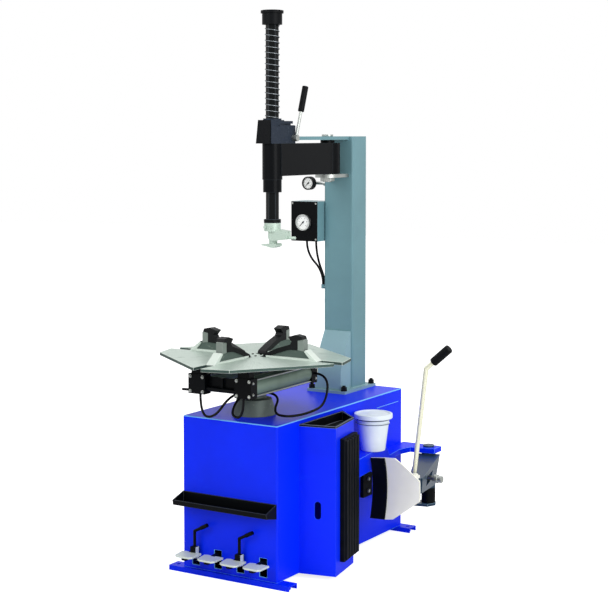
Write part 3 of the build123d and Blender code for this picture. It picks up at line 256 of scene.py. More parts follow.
jaw_black = cast("jaw_casting", shade(5, 7, 9), shade(34, 38, 40))
lock_casting = cast("lock_casting", shade(28, 38, 52), shade(70, 80, 92), 0.3)
grey_casting = cast("grey_casting", shade(86, 96, 90), shade(140, 148, 140), 0.4, 0.3)
web_casting = cast("web_casting", shade(84, 98, 92), shade(150, 160, 152), 0.3, 0.3)
pad_rubber = moulded("pad_rubber", shade(3, 5, 9), 0.55, 0.35, size=210.0, shine=0.08)
black_plastic = moulded("black_plastic", shade(4, 6, 9), 0.42, 0.2, shine=0.1)
tray_black = moulded("tray_black", shade(3, 5, 9), 0.34, 0.12, 0.02, shine=0.1)
hose_rubber = moulded("hose_rubber", shade(5, 6, 9), 0.38, 0.1, 0.02, shine=0.1)
pail_white = moulded("pail_white", shade(224, 234, 242), 0.36, 0.06, 0.1, 120.0, 0.4)
pail_line = moulded("pail_groove", shade(64, 76, 96), 0.5)
print("castings, rubber and plastic ready")

# %% [markdown]
# ## Steel
# Bare steel has a grain that follows the way it was made: along a drawn shaft or tube, outwards from
# the centre on the ground table. The grain is noise stretched thin, and on the table it is read from
# the angle round the axis instead of from X and Y.

# %% Steel finishes
table_axis = sum((Vector(c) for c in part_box("table_hub")), Vector()) / 2


def steel(name, colour, along=(1.0, 1.0, 0.05), roughness=0.3, grain=0.12, metallic=1.0, dirt=0.35):
    """Drawn or turned steel: fine lines along one direction, with oily patches."""
    f = Finish(name, Specular_IOR_Level=0.5 if metallic > 0.3 else 0.12)
    lines = f.noise(900.0, 3.0, 0.6, f.stretched(*along))
    oil = f.between(0.45, 0.75, f.noise(14.0, 6.0, 0.65))
    dark = tuple(c * 0.62 for c in colour[:3]) + (1.0,)
    f.put(Base_Color=f.blend(oil * dirt, colour, dark), Metallic=metallic,
          Roughness=roughness + lines * 0.16 + oil * 0.08, Normal=f.bumps(lines, grain, 0.0003))
    return f.material


def ground_table(name):
    """The table's top: grind marks running outwards, scuffs from rims, smoother towards its edge."""
    f = Finish(name)
    x, y, z = f.axes()
    x, y = x - table_axis.x, y - table_axis.y
    radius = f.node("ShaderNodeMath", {"operation": "SQRT"}, [x * x + y * y])
    angle = x.math("ARCTAN2", y, x)
    polar = f.node("ShaderNodeCombineXYZ", {}, [angle * 26.0, radius * 5.0, 0.0])
    lines = f.noise(3.0, 6.0, 0.7, polar)
    scuff = f.between(0.56, 0.66, f.noise(20.0, 8.0, 0.7, f.stretched(1.0, 1.0, 0.2)))
    cloud = f.noise(4.5, 3.0, 0.6)
    worn = f.between(0.10, 0.26, radius)
    base = f.blend(f.between(0.3, 0.7, lines), shade(158, 176, 166), shade(204, 218, 208))
    base = f.blend(f.between(0.35, 0.7, cloud) * 0.5, base, shade(180, 194, 184))
    f.put(Base_Color=f.blend(scuff * 0.4, base, shade(132, 148, 138)), Metallic=0.35,
          Roughness=0.36 + lines * 0.12 + scuff * 0.1 - worn * 0.05, Normal=f.bumps(lines, 0.10, 0.0004))
    return f.material


table_steel = ground_table("table_steel")
bright_steel = steel("bright_steel", shade(196, 200, 198))
edge_steel = steel("edge_steel", shade(62, 82, 76), (1.0, 1.0, 0.3), 0.4, metallic=0.6)
dark_steel = steel("blackened_steel", shade(9, 12, 13), roughness=0.36, metallic=0.2, dirt=0.2)
slide_steel = steel("slide_steel", shade(212, 222, 214), (1.0, 1.0, 1.0), 0.34, metallic=0.25, dirt=0.2)
spring_steel = steel("spring_steel", shade(132, 138, 142), (1.0, 1.0, 1.0), 0.25, dirt=0.2)
tube_aluminium = steel("tube_aluminium", shade(112, 132, 120), (1.0, 0.03, 1.0), 0.38, metallic=0.35)
rod_chrome = steel("handle_plating", shade(240, 240, 214), (1.0, 1.0, 0.1), 0.2, 0.05,
                   metallic=0.55, dirt=0.1)
tool_cast = cast("tool_casting", shade(186, 204, 192), shade(104, 118, 108), 0.3, 0.25, 0.36)
block_steel = steel("block_steel", shade(132, 142, 136), (1.0, 1.0, 1.0), 0.34, metallic=0.35)
zinc = steel("zinc_plate", shade(176, 180, 176), (1.0, 1.0, 1.0), 0.3, 0.1)
print("steels ready:", len(bpy.data.materials), "finishes in all")

# %% [markdown]
# ## Softened edges
# Sheet steel is folded and castings are fettled, so no edge on the machine is a perfect corner, and
# the thin bright line along each edge is what makes it read as solid. The imported solids have sharp
# corners. `skin` copies a solid, merges its loose triangles into whole faces, rounds every corner
# with a Bevel and evens the shading with Weighted Normals. An edge finish given to `skin` colours the
# roundings alone: a painted highlight, and on the white blade a painted shade.

# %% Objects and plain meshes
def linked(name, data):
    """An object that holds the data, linked to the scene."""
    obj = bpy.data.objects.new(name, data)
    bpy.context.scene.collection.objects.link(obj)
    return obj


def plain_mesh(obj):
    """The object's shape as a plain mesh, with its modifiers carried out."""
    bpy.context.view_layer.update()
    return bpy.data.meshes.new_from_object(obj.evaluated_get(bpy.context.evaluated_depsgraph_get()))


def evaluated(obj):
    """Give the object the mesh that its modifiers make, and remove them."""
    result = plain_mesh(obj)
    obj.modifiers.clear()
    old, obj.data = obj.data, result
    bpy.data.meshes.remove(old)
    return obj


def smooth(mesh):
    """Shade every face smooth."""
    for face in mesh.polygons:
        face.use_smooth = True


def add(name, mesh, materials, body):
    """Put a finished mesh in the scene, on one of the moving groups if one is named."""
    obj = linked(name, mesh)
    mesh.materials.clear()
    for m in materials:
        mesh.materials.append(m)
    if body:
        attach(obj, body)
    return obj


print("object helpers ready")

# %% Skins over the solids
def rounded(obj, width, angle=32.0, edge=-1):
    """Round the corners sharper than angle and even out the shading. edge is the material slot of
    the roundings."""
    bevel = obj.modifiers.new("round", "BEVEL")
    bevel.material = edge
    bevel.width = width
    bevel.segments = 2
    bevel.limit_method = "ANGLE"
    bevel.angle_limit = math.radians(angle)
    bevel.use_clamp_overlap = True
    bevel.miter_outer = "MITER_ARC"
    obj.modifiers.new("even", "WEIGHTED_NORMAL").keep_sharp = True
    smooth(obj.data)
    return evaluated(obj)


def skin(node, *materials, width=0.8, pick=None, edge=None, level=None):
    """Dress one solid. width is the corner's rounding in millimetres, pick chooses a face's material,
    edge is a finish for the roundings alone, a painted highlight lighter than the paint (on the white blade a
    darker painted shade), and level is a height at which the faces are parted so that pick can tell them
    apart."""
    same_place = 2e-6
    same_face = math.radians(0.4)
    shell = bmesh.new()
    shell.from_mesh(frame["nodes"][node].data)
    bmesh.ops.remove_doubles(shell, verts=shell.verts, dist=same_place)
    bmesh.ops.dissolve_limit(shell, angle_limit=same_face, verts=shell.verts, edges=shell.edges)
    if level:
        bmesh.ops.bisect_plane(shell, geom=shell.verts[:] + shell.edges[:] + shell.faces[:],
                               plane_co=(0, 0, level), plane_no=(0, 0, 1))
    mesh = bpy.data.meshes.new(node + "_skin")
    shell.to_mesh(mesh)
    shell.free()
    obj = add(node + "_skin", mesh, materials + ((edge,) if edge else ()), None)
    if pick:
        for face in mesh.polygons:
            face.material_index = pick(face.center, face.normal)
    rounded(obj, width / 1000, edge=len(materials) if edge else -1)
    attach(obj, body_of_node[node])
    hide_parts(node)
    return obj


print("skin ready")

# %% [markdown]
# ## The steel cabinet and what is bolted to it
# Most of these pieces are folded or cut from sheet, so a rounding of one or two millimetres is right.
# The drop-in tray is black plastic and the front tray black paint. The two foot bars carry the
# cabinet's colour.

# %% Dress the cabinet group
def top_rim_highlight(centre, normal):
    """The rounded fold along the cabinet's top, which takes the light blue edge finish: a painted highlight
    where the sides have none.
    """
    near_top = 0.5
    return 1 if centre.z > near_top and 0.15 < normal.z < 0.985 else 0


# The cabinet's top fold and its roundings take the light blue edge finish: a painted highlight.
skin("cabinet", cabinet_blue, blue_edge_highlight, width=2.4, pick=top_rim_highlight, edge=blue_edge_highlight)
# In each line below the third finish colours the roundings alone, a painted highlight lighter than the paint;
# the column's foot takes the column grey made lighter, painted light.
for node, finish, edge, width in (("side_housing", cabinet_blue, blue_fold_highlight, 1.4),
                                  ("side_shelf", cabinet_blue, blue_edge_highlight, 1.8),
                                  ("service_cover", cabinet_blue, blue_fold_highlight, 0.6),
                                  ("foot_bars", cabinet_blue, blue_fold_highlight, 0.9),
                                  ("front_tray", gloss_black, black_edge_highlight, 0.9),
                                  ("side_tray", tray_black, tray_edge_highlight, 1.0),
                                  ("column_foot", lit_foot_grey, grey_edge_highlight, 1.2),
                                  ("arm_pivot_pin", zinc, None, 0.8),
                                  ("column_bolts", dark_steel, None, 0.6),
                                  ("gauge_panel", gloss_black, black_edge_highlight, 0.5),
                                  ("gearbox", grey_casting, None, 1.5),
                                  ("motor", slate, None, 1.2),
                                  ("drive_belt", hose_rubber, None, 0.5),
                                  ("pedal_frame", gloss_black, None, 0.6),
                                  ("bead_cylinder", tube_aluminium, None, 0.8),
                                  ("bead_pivot", slate, slate_edge_highlight, 0.9),
                                  ("worm_pulley", gloss_black, None, 0.6),
                                  ("motor_pulley", gloss_black, None, 0.6)):
    skin(node, finish, width=width, edge=edge)
print("cabinet group dressed")

# %% [markdown]
# ## Pieces of two colours
# The small gauge is a black case on a bright pipe; the air cylinders have drawn aluminium tubes and
# black end caps; each pedal is a bright plate on a black lever. One skin can carry several materials,
# chosen face by face from the face's place: each function below returns the number of a material.

# %% Which face takes which finish
def cylinder_part(centre, normal):
    """Black end caps and hangers, drawn tubes, and bright tie rods beside them."""
    cap, tube, tie_rod = range(3)
    cap_half, cap_length, axis_level = 0.032, 0.033, 0.640
    rod_place, rod_reach, tube_reach = 0.026, 0.0037, 0.0314
    low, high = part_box("clamp_cylinders")
    across = abs(centre.x) - (high.x - cap_half)
    up = centre.z - axis_level
    if abs(normal.y) > 0.5 or not low.y + cap_length < centre.y < high.y - cap_length:
        return cap
    if math.hypot(abs(across) - rod_place, abs(up) - rod_place) < rod_reach:
        return tie_rod
    return tube if math.hypot(across, up) < tube_reach else cap


def is_plate(centre, normal):
    """Faces of a pedal's foot plate."""
    plate_bottom, plate_top, plate_back = 0.0716, 0.0786, -0.445
    return 1 if plate_bottom < centre.z < plate_top and centre.y < plate_back else 0


def gauge_part(centre, normal):
    """Black small case, bright pipe and bright box gauge."""
    case_bottom, case_back, case_side = 1.235, 0.2725, -0.08
    in_case = centre.z > case_bottom and centre.y < case_back and centre.x < case_side
    return 0 if in_case else 1


def pivot_plate(centre, normal):
    """The column's lower pivot plate is bare steel."""
    plate_bottom, plate_top, plate_back = 1.2875, 1.3005, 0.27
    return 1 if plate_bottom < centre.z < plate_top and centre.y < plate_back else 0


def jaw_part(centre, normal):
    """Black arm, bright slide and slope, grey web, steel clamp block, told apart by how far the face
    lies out from the table's axis, to the side of the jaw's middle and up from the jaw's underside."""
    arm, slide, web, block = range(4)
    underside, slide_height, slide_side, slope_start = 715.3, 7, 15, 205
    off = [abs(centre.x - table_axis.x) * 1000, abs(centre.y - table_axis.y) * 1000]
    out, aside, up = max(off), min(off), centre.z * 1000 - underside
    in_block = 176.5 < out < 201 and 27 < up < 66 and aside < 12.7
    if in_block:
        return block
    on_slide = aside > slide_side and up < slide_height
    arm_line = [(42, -1), (58, 0), (106, 17.5), (142, 29.5), (176, 32), (206, 61)]
    for (r0, h0), (r1, h1) in zip(arm_line, arm_line[1:]):
        if r0 <= out < r1 and up > h0 + (h1 - h0) * (out - r0) / (r1 - r0) + 0.6 and not on_slide:
            return arm
    bright = up < slide_height or aside > slide_side or out > slope_start
    return slide if up > -0.5 and bright else web


def faces_up(centre, normal):
    """The table's ground top."""
    return 1 if normal.z > 0.5 else 0


def front_cover(centre, normal):
    """The lock housing's front cover."""
    cover_back = -0.1985
    return 1 if centre.y < cover_back else 0


def bumper_bolt(centre, normal):
    """The two bolt heads in the bumper behind the pad."""
    bumper_face, near_bolts, far_bolts = 0.198, 0.108, 0.174
    return 1 if centre.x > bumper_face and near_bolts < centre.y < far_bolts else 0


print("face choosers ready")

# %% Dress the two-colour pieces
# Each edge finish here colours the roundings alone: a painted highlight, and on the ivory blade a painted
# shade.
skin("clamp_cylinders", gloss_black, tube_aluminium, zinc, width=1.0, pick=cylinder_part, edge=black_edge_highlight)
for k in range(1, 5):
    skin(f"pedal_{k}", gloss_black, slide_steel, width=0.8, pick=is_plate)
    skin(f"jaw_{k}", jaw_black, slide_steel, web_casting, block_steel, width=1.2, pick=jaw_part)
skin("gauge_cases", black_plastic, bright_steel, width=0.5, pick=gauge_part)
skin("gauge_box", column_grey, width=0.7, edge=grey_edge_highlight)
skin("column", column_grey, zinc, width=1.0, pick=pivot_plate, edge=grey_edge_highlight)
# The table plate's roundings take the bright slide steel: a painted highlight along its rim.
skin("table_plate", edge_steel, table_steel, width=0.7, pick=faces_up, edge=slide_steel)
skin("lock_housing", lock_casting, gloss_black, width=2.0, pick=front_cover)
skin("bead_blade", ivory, width=0.9, edge=enamel_edge_shade)
skin("wheel_pad", pad_rubber, zinc, width=2.0, edge=pad_edge_highlight, pick=bumper_bolt)
print("two-colour pieces dressed")

# %% [markdown]
# ## The swinging arm, the tool and the table's gear
# The arm and its sleeve are black, the hexagonal shaft is blackened steel with a coil spring round
# its upper end, and the tool at the bottom is a pale casting polished by use. The bead breaker's arm
# is slate above and black at its foot, where a cut through the skin parts the two paints.

# %% Dress the arm, the tool and the bead breaker
# Each edge finish below colours the roundings alone: a painted highlight, lighter than the paint.
for node, finish, edge, width in (("swing_arm", gloss_black, black_edge_highlight, 1.2),
                                  ("lock_lever", zinc, None, 0.8),
                                  ("lock_grip", black_plastic, None, 3.5),
                                  ("tool_shaft", dark_steel, black_edge_highlight, 1.0),
                                  ("shaft_cap", black_plastic, black_edge_highlight, 1.4),
                                  ("mount_head", tool_cast, None, 2.2),
                                  ("table_hub", grey_casting, None, 1.0),
                                  ("link_plate", bright_steel, None, 0.6),
                                  ("clamp_rod_left", rod_chrome, None, 0.6),
                                  ("clamp_rod_right", rod_chrome, None, 0.6),
                                  ("bead_handle", rod_chrome, None, 0.4),
                                  ("handle_grip", black_plastic, None, 4.0),
                                  ("blade_cover", black_plastic, black_edge_highlight, 0.9),
                                  ("bead_rod", zinc, None, 0.8),
                                  ("box_gauge_needle", gloss_black, None, 0.0),
                                  ("small_gauge_needle", gloss_black, None, 0.0)):
    skin(node, finish, width=width, edge=edge)
foot_level = 0.176
# The slate arm's roundings take the lighter slate edge finish: a painted highlight.
skin("bead_arm", slate, gloss_black, width=1.6, edge=slate_edge_highlight, level=foot_level,
     pick=lambda c, n: 1 if c.z < foot_level else 0)
print("arm, tool, table gear and bead breaker dressed")

# %% [markdown]
# ## Things that repeat
# A machine is held together by dozens of equal screws, its spring is one turn repeated, and a weld
# is a row of overlapping drops of metal. Geometry Nodes grow such things from a few points and a few
# sizes, so a change is one number. `Grower` builds a tree in the script, and its inputs are set
# through their identifiers before the tree first runs.

# %% Trees that grow pieces
class Grower:
    """A Geometry Nodes tree with named inputs."""

    def __init__(self, name, **inputs):
        self.tree = bpy.data.node_groups.new(name, "GeometryNodeTree")
        face = self.tree.interface
        face.new_socket("Geometry", in_out="INPUT", socket_type="NodeSocketGeometry")
        self.ids = {}
        for key, (kind, value) in inputs.items():
            socket = face.new_socket(key, in_out="INPUT", socket_type="NodeSocket" + kind)
            if value is not None:
                socket.default_value = value
            self.ids[key] = socket.identifier
        face.new_socket("Geometry", in_out="OUTPUT", socket_type="NodeSocketGeometry")
        self.given = self.tree.nodes.new("NodeGroupInput").outputs
        self.result = self.tree.nodes.new("NodeGroupOutput").inputs[0]

    def node(self, kind, settings, values):
        """Add a node: its settings first, then a value, a link or a list of links for each socket."""
        node = self.tree.nodes.new(kind)
        for key, value in settings.items():
            setattr(node, key, value)
        for key, value in values.items():
            for one in (value if isinstance(value, list) else [value]):
                if isinstance(one, bpy.types.NodeSocket):
                    self.tree.links.new(one, node.inputs[key])
                else:
                    node.inputs[key].default_value = one
        return node.outputs[0]

    def finish(self, geometry):
        """Make the instances real, give them the material and end the tree there."""
        real = self.node("GeometryNodeRealizeInstances", {}, {0: geometry})
        dressed = self.node("GeometryNodeSetMaterial", {}, {0: real, "Material": self.given["Material"]})
        self.tree.links.new(dressed, self.result)

    def grow(self, name, body, mesh, material, **sizes):
        """Run the tree on a mesh and keep the result as one plain mesh on one group."""
        obj = linked(name, mesh)
        run = obj.modifiers.new("grow", "NODES")
        run.node_group = self.tree
        run[self.ids["Material"]] = material
        for key, value in sizes.items():
            run[self.ids[key]] = value
        evaluated(obj)
        if body:
            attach(obj, body)
        return obj


def points_mesh(name, points, way=None, closed=False):
    """Points in millimetres as a mesh, each with the direction it faces, or joined into a path."""
    mesh = bpy.data.meshes.new(name)
    last = len(points) - 1
    edges = [] if way else [(k, k + 1) for k in range(last)]
    if closed:
        edges.append((last, 0))
    mesh.from_pydata([tuple(v / 1000 for v in p) for p in points], edges, [])
    if way:
        ways = mesh.attributes.new("way", "FLOAT_VECTOR", "POINT")
        for item in ways.data:
            item.vector = way
    return mesh


print("growers ready")

# %% [markdown]
# ## Screws
# A screw head is a cylinder with a bevelled crown and a thin washer under it. With six sides it is a
# hexagon head, with twelve or more it passes for a round one. Each point of a mesh carries the
# direction that its screw faces.

# %% Grow the screws
screw = Grower("screw", Radius=("Float", 0.005), Height=("Float", 0.004), Sides=("Int", 6),
               Washer=("Float", 1.3), Material=("Material", None))


def disc(sides, bottom, top, depth):
    """A cone or cylinder of the screw, standing on the origin."""
    return screw.node("GeometryNodeMeshCone", {}, {"Vertices": sides, "Radius Bottom": bottom,
                                                   "Radius Top": top, "Depth": depth})


def share(value, part):
    """A size of the screw that follows another."""
    return screw.node("ShaderNodeMath", {"operation": "MULTIPLY"}, {0: value, 1: part})


given = screw.given
head = disc(given["Sides"], given["Radius"], given["Radius"], given["Height"])
crown_top = share(given["Radius"], 0.72)
crown_height = share(given["Height"], 0.28)
crown = disc(given["Sides"], given["Radius"], crown_top, crown_height)
lift = screw.node("ShaderNodeCombineXYZ", {}, {2: given["Height"]})
crown = screw.node("GeometryNodeTransform", {}, {"Geometry": crown, "Translation": lift})
washer_sides, washer_thickness = 20, 0.0012
washer_radius = share(given["Radius"], given["Washer"])
washer = disc(washer_sides, washer_radius, washer_radius, washer_thickness)
whole = screw.node("GeometryNodeJoinGeometry", {}, {0: [head, crown, washer]})
way = screw.node("GeometryNodeInputNamedAttribute", {"data_type": "FLOAT_VECTOR"}, {"Name": "way"})
turn = screw.node("FunctionNodeAlignRotationToVector", {"axis": "Z"}, {"Vector": way})
screw.finish(screw.node("GeometryNodeInstanceOnPoints", {}, {"Points": given["Geometry"],
                                                             "Instance": whole, "Rotation": turn}))


def screws(name, body, points, way, radius, height, material=zinc, sides=6, washer=1.35):
    """Equal screws at the points, heads towards way, sizes in millimetres."""
    return screw.grow(name, body, points_mesh(name, points, way), material, Radius=radius / 1000,
                      Height=height / 1000, Sides=sides, Washer=washer)


axis_x, axis_y = table_axis.x * 1000, table_axis.y * 1000
cylinder_x, cylinder_z = 90, 640
for hand, side in (("left", -1), ("right", 1)):
    for end, front in (("front", -1), ("back", 1)):
        screws(f"cap_screws_{hand}_{end}", "turntable",
               [(side * cylinder_x + dx, axis_y + front * 200, cylinder_z + dz)
                for dx in (-24, 24) for dz in (-24, 24)], (0, front, 0), 4.2, 4.5)
    screws(f"cap_side_screws_{hand}", "turntable",
           [(side * 122, axis_y + dy, cylinder_z + dz) for dy in (-190, 190) for dz in (-18, 18)],
           (side, 0, 0), 3.4, 3)
cover_face, panel_face, right_wall, table_top, bolt_circle = -189, 225, 184.2, 715, 23
screws("cover_screws", "machine", [(cover_face, y, z) for y in (-140, 60, 240) for z in (110, 420)],
       (-1, 0, 0), 5, 3.5, dark_steel, 16)
screws("panel_screws", "machine", [(x, panel_face, z) for x in (-164, -66) for z in (1063, 1192)],
       (0, -1, 0), 2.6, 1.6, zinc, 14)
screws("tower_screws", "machine", [(right_wall, 24, z) for z in (150, 250)], (1, 0, 0), 4, 3, dark_steel)
screws("hub_screws", "turntable",
       [(axis_x + bolt_circle * math.cos(a), axis_y + bolt_circle * math.sin(a), table_top)
        for a in (math.pi / 4 + k * math.pi / 2 for k in range(4))],
       (0, 0, 1), 3.6, 2.0, dark_steel, 12, 1.1)
print("screws in place")

# %% [markdown]
# ## The return spring
# The tool's shaft is pushed down against a coil spring that lifts it again. The coil is a spiral
# curve with a round profile, as long as the imported spring.

# %% Return spring
coil = Grower("coil", Turns=("Float", 16.0), Radius=("Float", 0.0236), Length=("Float", 0.3),
              Wire=("Float", 0.0015), Material=("Material", None))
given = coil.given
path = coil.node("GeometryNodeCurveSpiral", {}, {"Resolution": 32, "Rotations": given["Turns"],
                                                 "Start Radius": given["Radius"],
                                                 "End Radius": given["Radius"], "Height": given["Length"]})
wire_round = coil.node("GeometryNodeCurvePrimitiveCircle", {}, {"Resolution": 8, "Radius": given["Wire"]})
coil.finish(coil.node("GeometryNodeCurveToMesh", {}, {"Curve": path, "Profile Curve": wire_round,
                                                      "Fill Caps": True}))
low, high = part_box("return_spring")
wire_radius = 0.0015
spring = coil.grow("return_spring_coil", None, points_mesh("coil_seed", [(0, 0, 0)]), spring_steel,
                   Length=high.z - low.z - 2 * wire_radius, Radius=(high.x - low.x) / 2 - wire_radius)
spring.data.transform(Matrix.Translation(((low.x + high.x) / 2, (low.y + high.y) / 2,
                                          low.z + wire_radius)))
smooth(spring.data)
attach(spring, body_of_node["return_spring"])
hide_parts("return_spring")
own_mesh(spring)

# %% [markdown]
# ## Welds
# A weld is laid drop by drop, and its drops stay visible. The tree walks along a line of points and
# sets a small ball of metal at equal steps.

# %% Lay the welds
weld = Grower("weld", Bead=("Float", 0.0022), Material=("Material", None))
run = weld.node("GeometryNodeMeshToCurve", {}, {0: weld.given["Geometry"]})
run = weld.node("GeometryNodeResampleCurve", {"mode": "LENGTH"}, {0: run, "Length": weld.given["Bead"]})
drop = weld.node("GeometryNodeMeshIcoSphere", {}, {"Radius": weld.given["Bead"], "Subdivisions": 2})
weld.finish(weld.node("GeometryNodeInstanceOnPoints", {}, {"Points": run, "Instance": drop}))


def welded(name, points, material, bead=2.2, closed=False):
    """A row of drops along the points, bead is a drop's radius in millimetres."""
    line = points_mesh(name, points, closed=closed)
    smooth(weld.grow(name, "machine", line, material, Bead=bead / 1000).data)


# The weld round the column's foot takes the foot's lighter grey: painted light.
welded("column_weld", [(-60, 272, 531), (60, 272, 531), (60, 372, 531), (-60, 372, 531)], lit_foot_grey,
       closed=True)
welded("plate_weld_low", [(-43, 272, 1300), (43, 272, 1300)], column_grey)
welded("box_weld", [(-60, 228, 1062), (-60, 228, 1196)], column_grey, 1.6)
print("welds laid")

# %% [markdown]
# ## The dials
# A pressure gauge has a white enamelled face, a scale over three quarters of the circle, numbers, a
# pointer and a bright rim. The scale's strokes are short bars that one tree sets round the circle,
# and the numbers are text made into flat meshes. Only plain numbers stand on the face.

# %% Faces, scales and numbers
dial_white = moulded("dial_enamel", shade(250, 252, 250), 0.3, 0.02, 0.2, 60.0, 0.4)
dial_ink = moulded("dial_ink", shade(10, 12, 16), 0.5, 0.02, size=60.0)
scale = Grower("scale", Long=("Float", 0.004), Wide=("Float", 0.0006), Material=("Material", None))
size = scale.node("ShaderNodeCombineXYZ", {}, {0: scale.given["Wide"], 1: 0.0002, 2: scale.given["Long"]})
stroke_bar = scale.node("GeometryNodeMeshCube", {}, {"Size": size})
outward = scale.node("GeometryNodeInputNamedAttribute", {"data_type": "FLOAT_VECTOR"}, {"Name": "way"})
aim = scale.node("FunctionNodeAlignRotationToVector", {"axis": "Z", "pivot_axis": "Y"}, {"Vector": outward})
scale.finish(scale.node("GeometryNodeInstanceOnPoints", {}, {"Points": scale.given["Geometry"],
                                                             "Instance": stroke_bar, "Rotation": aim}))


scale_start, scale_sweep = -135, 270


def strokes(name, centre, radius, count, long, wide):
    """count strokes over the sweep, from low left, over the top, to low right."""
    x, y, z = centre
    turns = [math.radians(scale_start + scale_sweep * k / (count - 1)) for k in range(count)]
    points = [(x + radius * math.sin(a), y, z + radius * math.cos(a)) for a in turns]
    mesh = points_mesh(name, points, (0, 0, 1))
    for item, a in zip(mesh.attributes["way"].data, turns):
        item.vector = (math.sin(a), 0, math.cos(a))
    return scale.grow(name, "machine", mesh, dial_ink, Long=long / 1000, Wide=wide / 1000)


def upright(centre):
    """The turn and shift that stand a flat mesh up at a place, facing the operator."""
    return Matrix.Translation([v / 1000 for v in centre]) @ Matrix.Rotation(math.radians(90), 4, "X")


def round_face(name, centre, radius, material, thick=0.8, sides=48):
    """A thin round plate facing the operator."""
    plate = bmesh.new()
    bmesh.ops.create_cone(plate, cap_ends=True, segments=sides, radius1=radius / 1000, radius2=radius / 1000,
                          depth=thick / 1000)
    mesh = bpy.data.meshes.new(name)
    plate.to_mesh(mesh)
    plate.free()
    mesh.transform(upright(centre))
    return add(name, mesh, [material], "machine")


def number(name, text, centre, height):
    """A plain number as a flat mesh on the dial."""
    curve = bpy.data.curves.new(name, "FONT")
    curve.body = text
    curve.size = height / 1000
    curve.align_x = curve.align_y = "CENTER"
    curve.extrude = 0.0001
    made = linked(name + "_text", curve)
    mesh = plain_mesh(made)
    bpy.data.objects.remove(made)
    mesh.transform(upright(centre))
    return add(name, mesh, [dial_ink], "machine")


for name, (x, y, z), radius, top in (("box_dial", (-115, 217.8, 1124), 25.2, 10),
                                     ("small_dial", (-116, 254.8, 1264), 20.2, 16)):
    ink_y = y - 0.5
    number_circle = radius - 9.6
    round_face(name, (x, y, z), radius, dial_white)
    strokes(name + "_marks", (x, ink_y, z), radius - 3.4, 11, 4.4, 0.9)
    strokes(name + "_fine", (x, ink_y, z), radius - 2.6, 51, 2.4, 0.4)
    for k in range(6):
        a = math.radians(scale_start + scale_sweep * k / 5)
        number(f"{name}_number_{k}", str(top * k // 5),
               (x + number_circle * math.sin(a), ink_y, z + number_circle * math.cos(a)), radius * 0.22)
print("dials done")

# %% [markdown]
# ## The paste pail
# The pail is a thin tapered cup with a stiffening ring, and its lid has a rolled rim and a sunken
# middle. Both are round, so each outline is drawn once and spun about the axis.

# %% Spin the pail and its lid
def spun(name, body, centre, outline, material, segments=64):
    """Spin an outline of (radius, height) points in millimetres about an upright axis."""
    x, y, z = centre
    turns = [2 * math.pi * k / segments for k in range(segments)]
    shell = bmesh.new()
    rings = []
    for r, h in outline:
        around = turns if r else [0.0]
        rings.append([shell.verts.new(((x + r * math.cos(a)) / 1000, (y + r * math.sin(a)) / 1000,
                                       (z + h) / 1000)) for a in around])
    for a, b in zip(rings, rings[1:]):
        for k in range(segments):
            corner = [a[k % len(a)], a[(k + 1) % len(a)], b[(k + 1) % len(b)], b[k % len(b)]]
            shell.faces.new(list(dict.fromkeys(corner)))
    bmesh.ops.recalc_face_normals(shell, faces=shell.faces)
    mesh = bpy.data.meshes.new(name)
    shell.to_mesh(mesh)
    shell.free()
    obj = add(name, mesh, [material], None)
    rounded(obj, 0.0007, angle=24.0)
    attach(obj, body)
    return obj


pail_at = (256, 73, 365)
cup = spun("pail_cup", body_of_node["bucket"], pail_at,
           [(0, 0), (39, 0), (41, 1.5), (52.9, 92), (55.6, 92.6), (55.9, 95.6), (53.4, 96.4),
            (56.9, 122.6), (56.6, 123), (55.2, 123), (54.6, 118), (40.0, 4), (38, 3), (0, 3)], pail_white)
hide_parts("bucket")
lid = spun("pail_lid", body_of_node["bucket_lid"], pail_at,
           [(0, 125.6), (20, 125.6), (21, 124.6), (54, 124.6), (56, 127.4), (61, 127.6), (65, 126.4),
            (65.8, 124), (65.8, 113), (64.6, 111.2), (58.6, 111.2), (58.2, 112), (58.2, 123.4),
            (0, 123.4)], pail_white)
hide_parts("bucket_lid")
print("pail and lid spun")

# %% [markdown]
# ## Wire, groove, crease highlight and pipe
# A wire handle lies round the pail, a dark groove shows where the lid grips the cup, a bright line along
# the bend of the cabinet's side is a painted highlight, and a short pipe points away from the left clamp
# cylinder. All are thin round lines, so each is a curve with a round bevel that follows a few points, made
# a plain mesh.

# %% Draw the wires
def bent(name, points, radius, fineness, steps, cyclic=False):
    """A round NURBS curve of order 3 that follows the points, in millimetres, and bends softly."""
    curve = bpy.data.curves.new(name, "CURVE")
    curve.dimensions = "3D"
    curve.bevel_depth = radius / 1000
    curve.bevel_resolution = fineness
    curve.resolution_u = steps
    line = curve.splines.new("NURBS")
    line.points.add(len(points) - 1)
    for point, (x, y, z) in zip(line.points, points):
        point.co = (x / 1000, y / 1000, z / 1000, 1.0)
    line.order_u = 3
    line.use_endpoint_u = not cyclic
    line.use_cyclic_u = cyclic
    return curve


def wire(name, body, points, radius, material, cyclic=False):
    """A round bar or wire as a plain mesh."""
    curve = bent(name, points, radius, 3, 12, cyclic)
    curve.use_fill_caps = True
    made = linked(name + "_path", curve)
    mesh = plain_mesh(made)
    bpy.data.objects.remove(made)
    smooth(mesh)
    return add(name, mesh, [material], body)


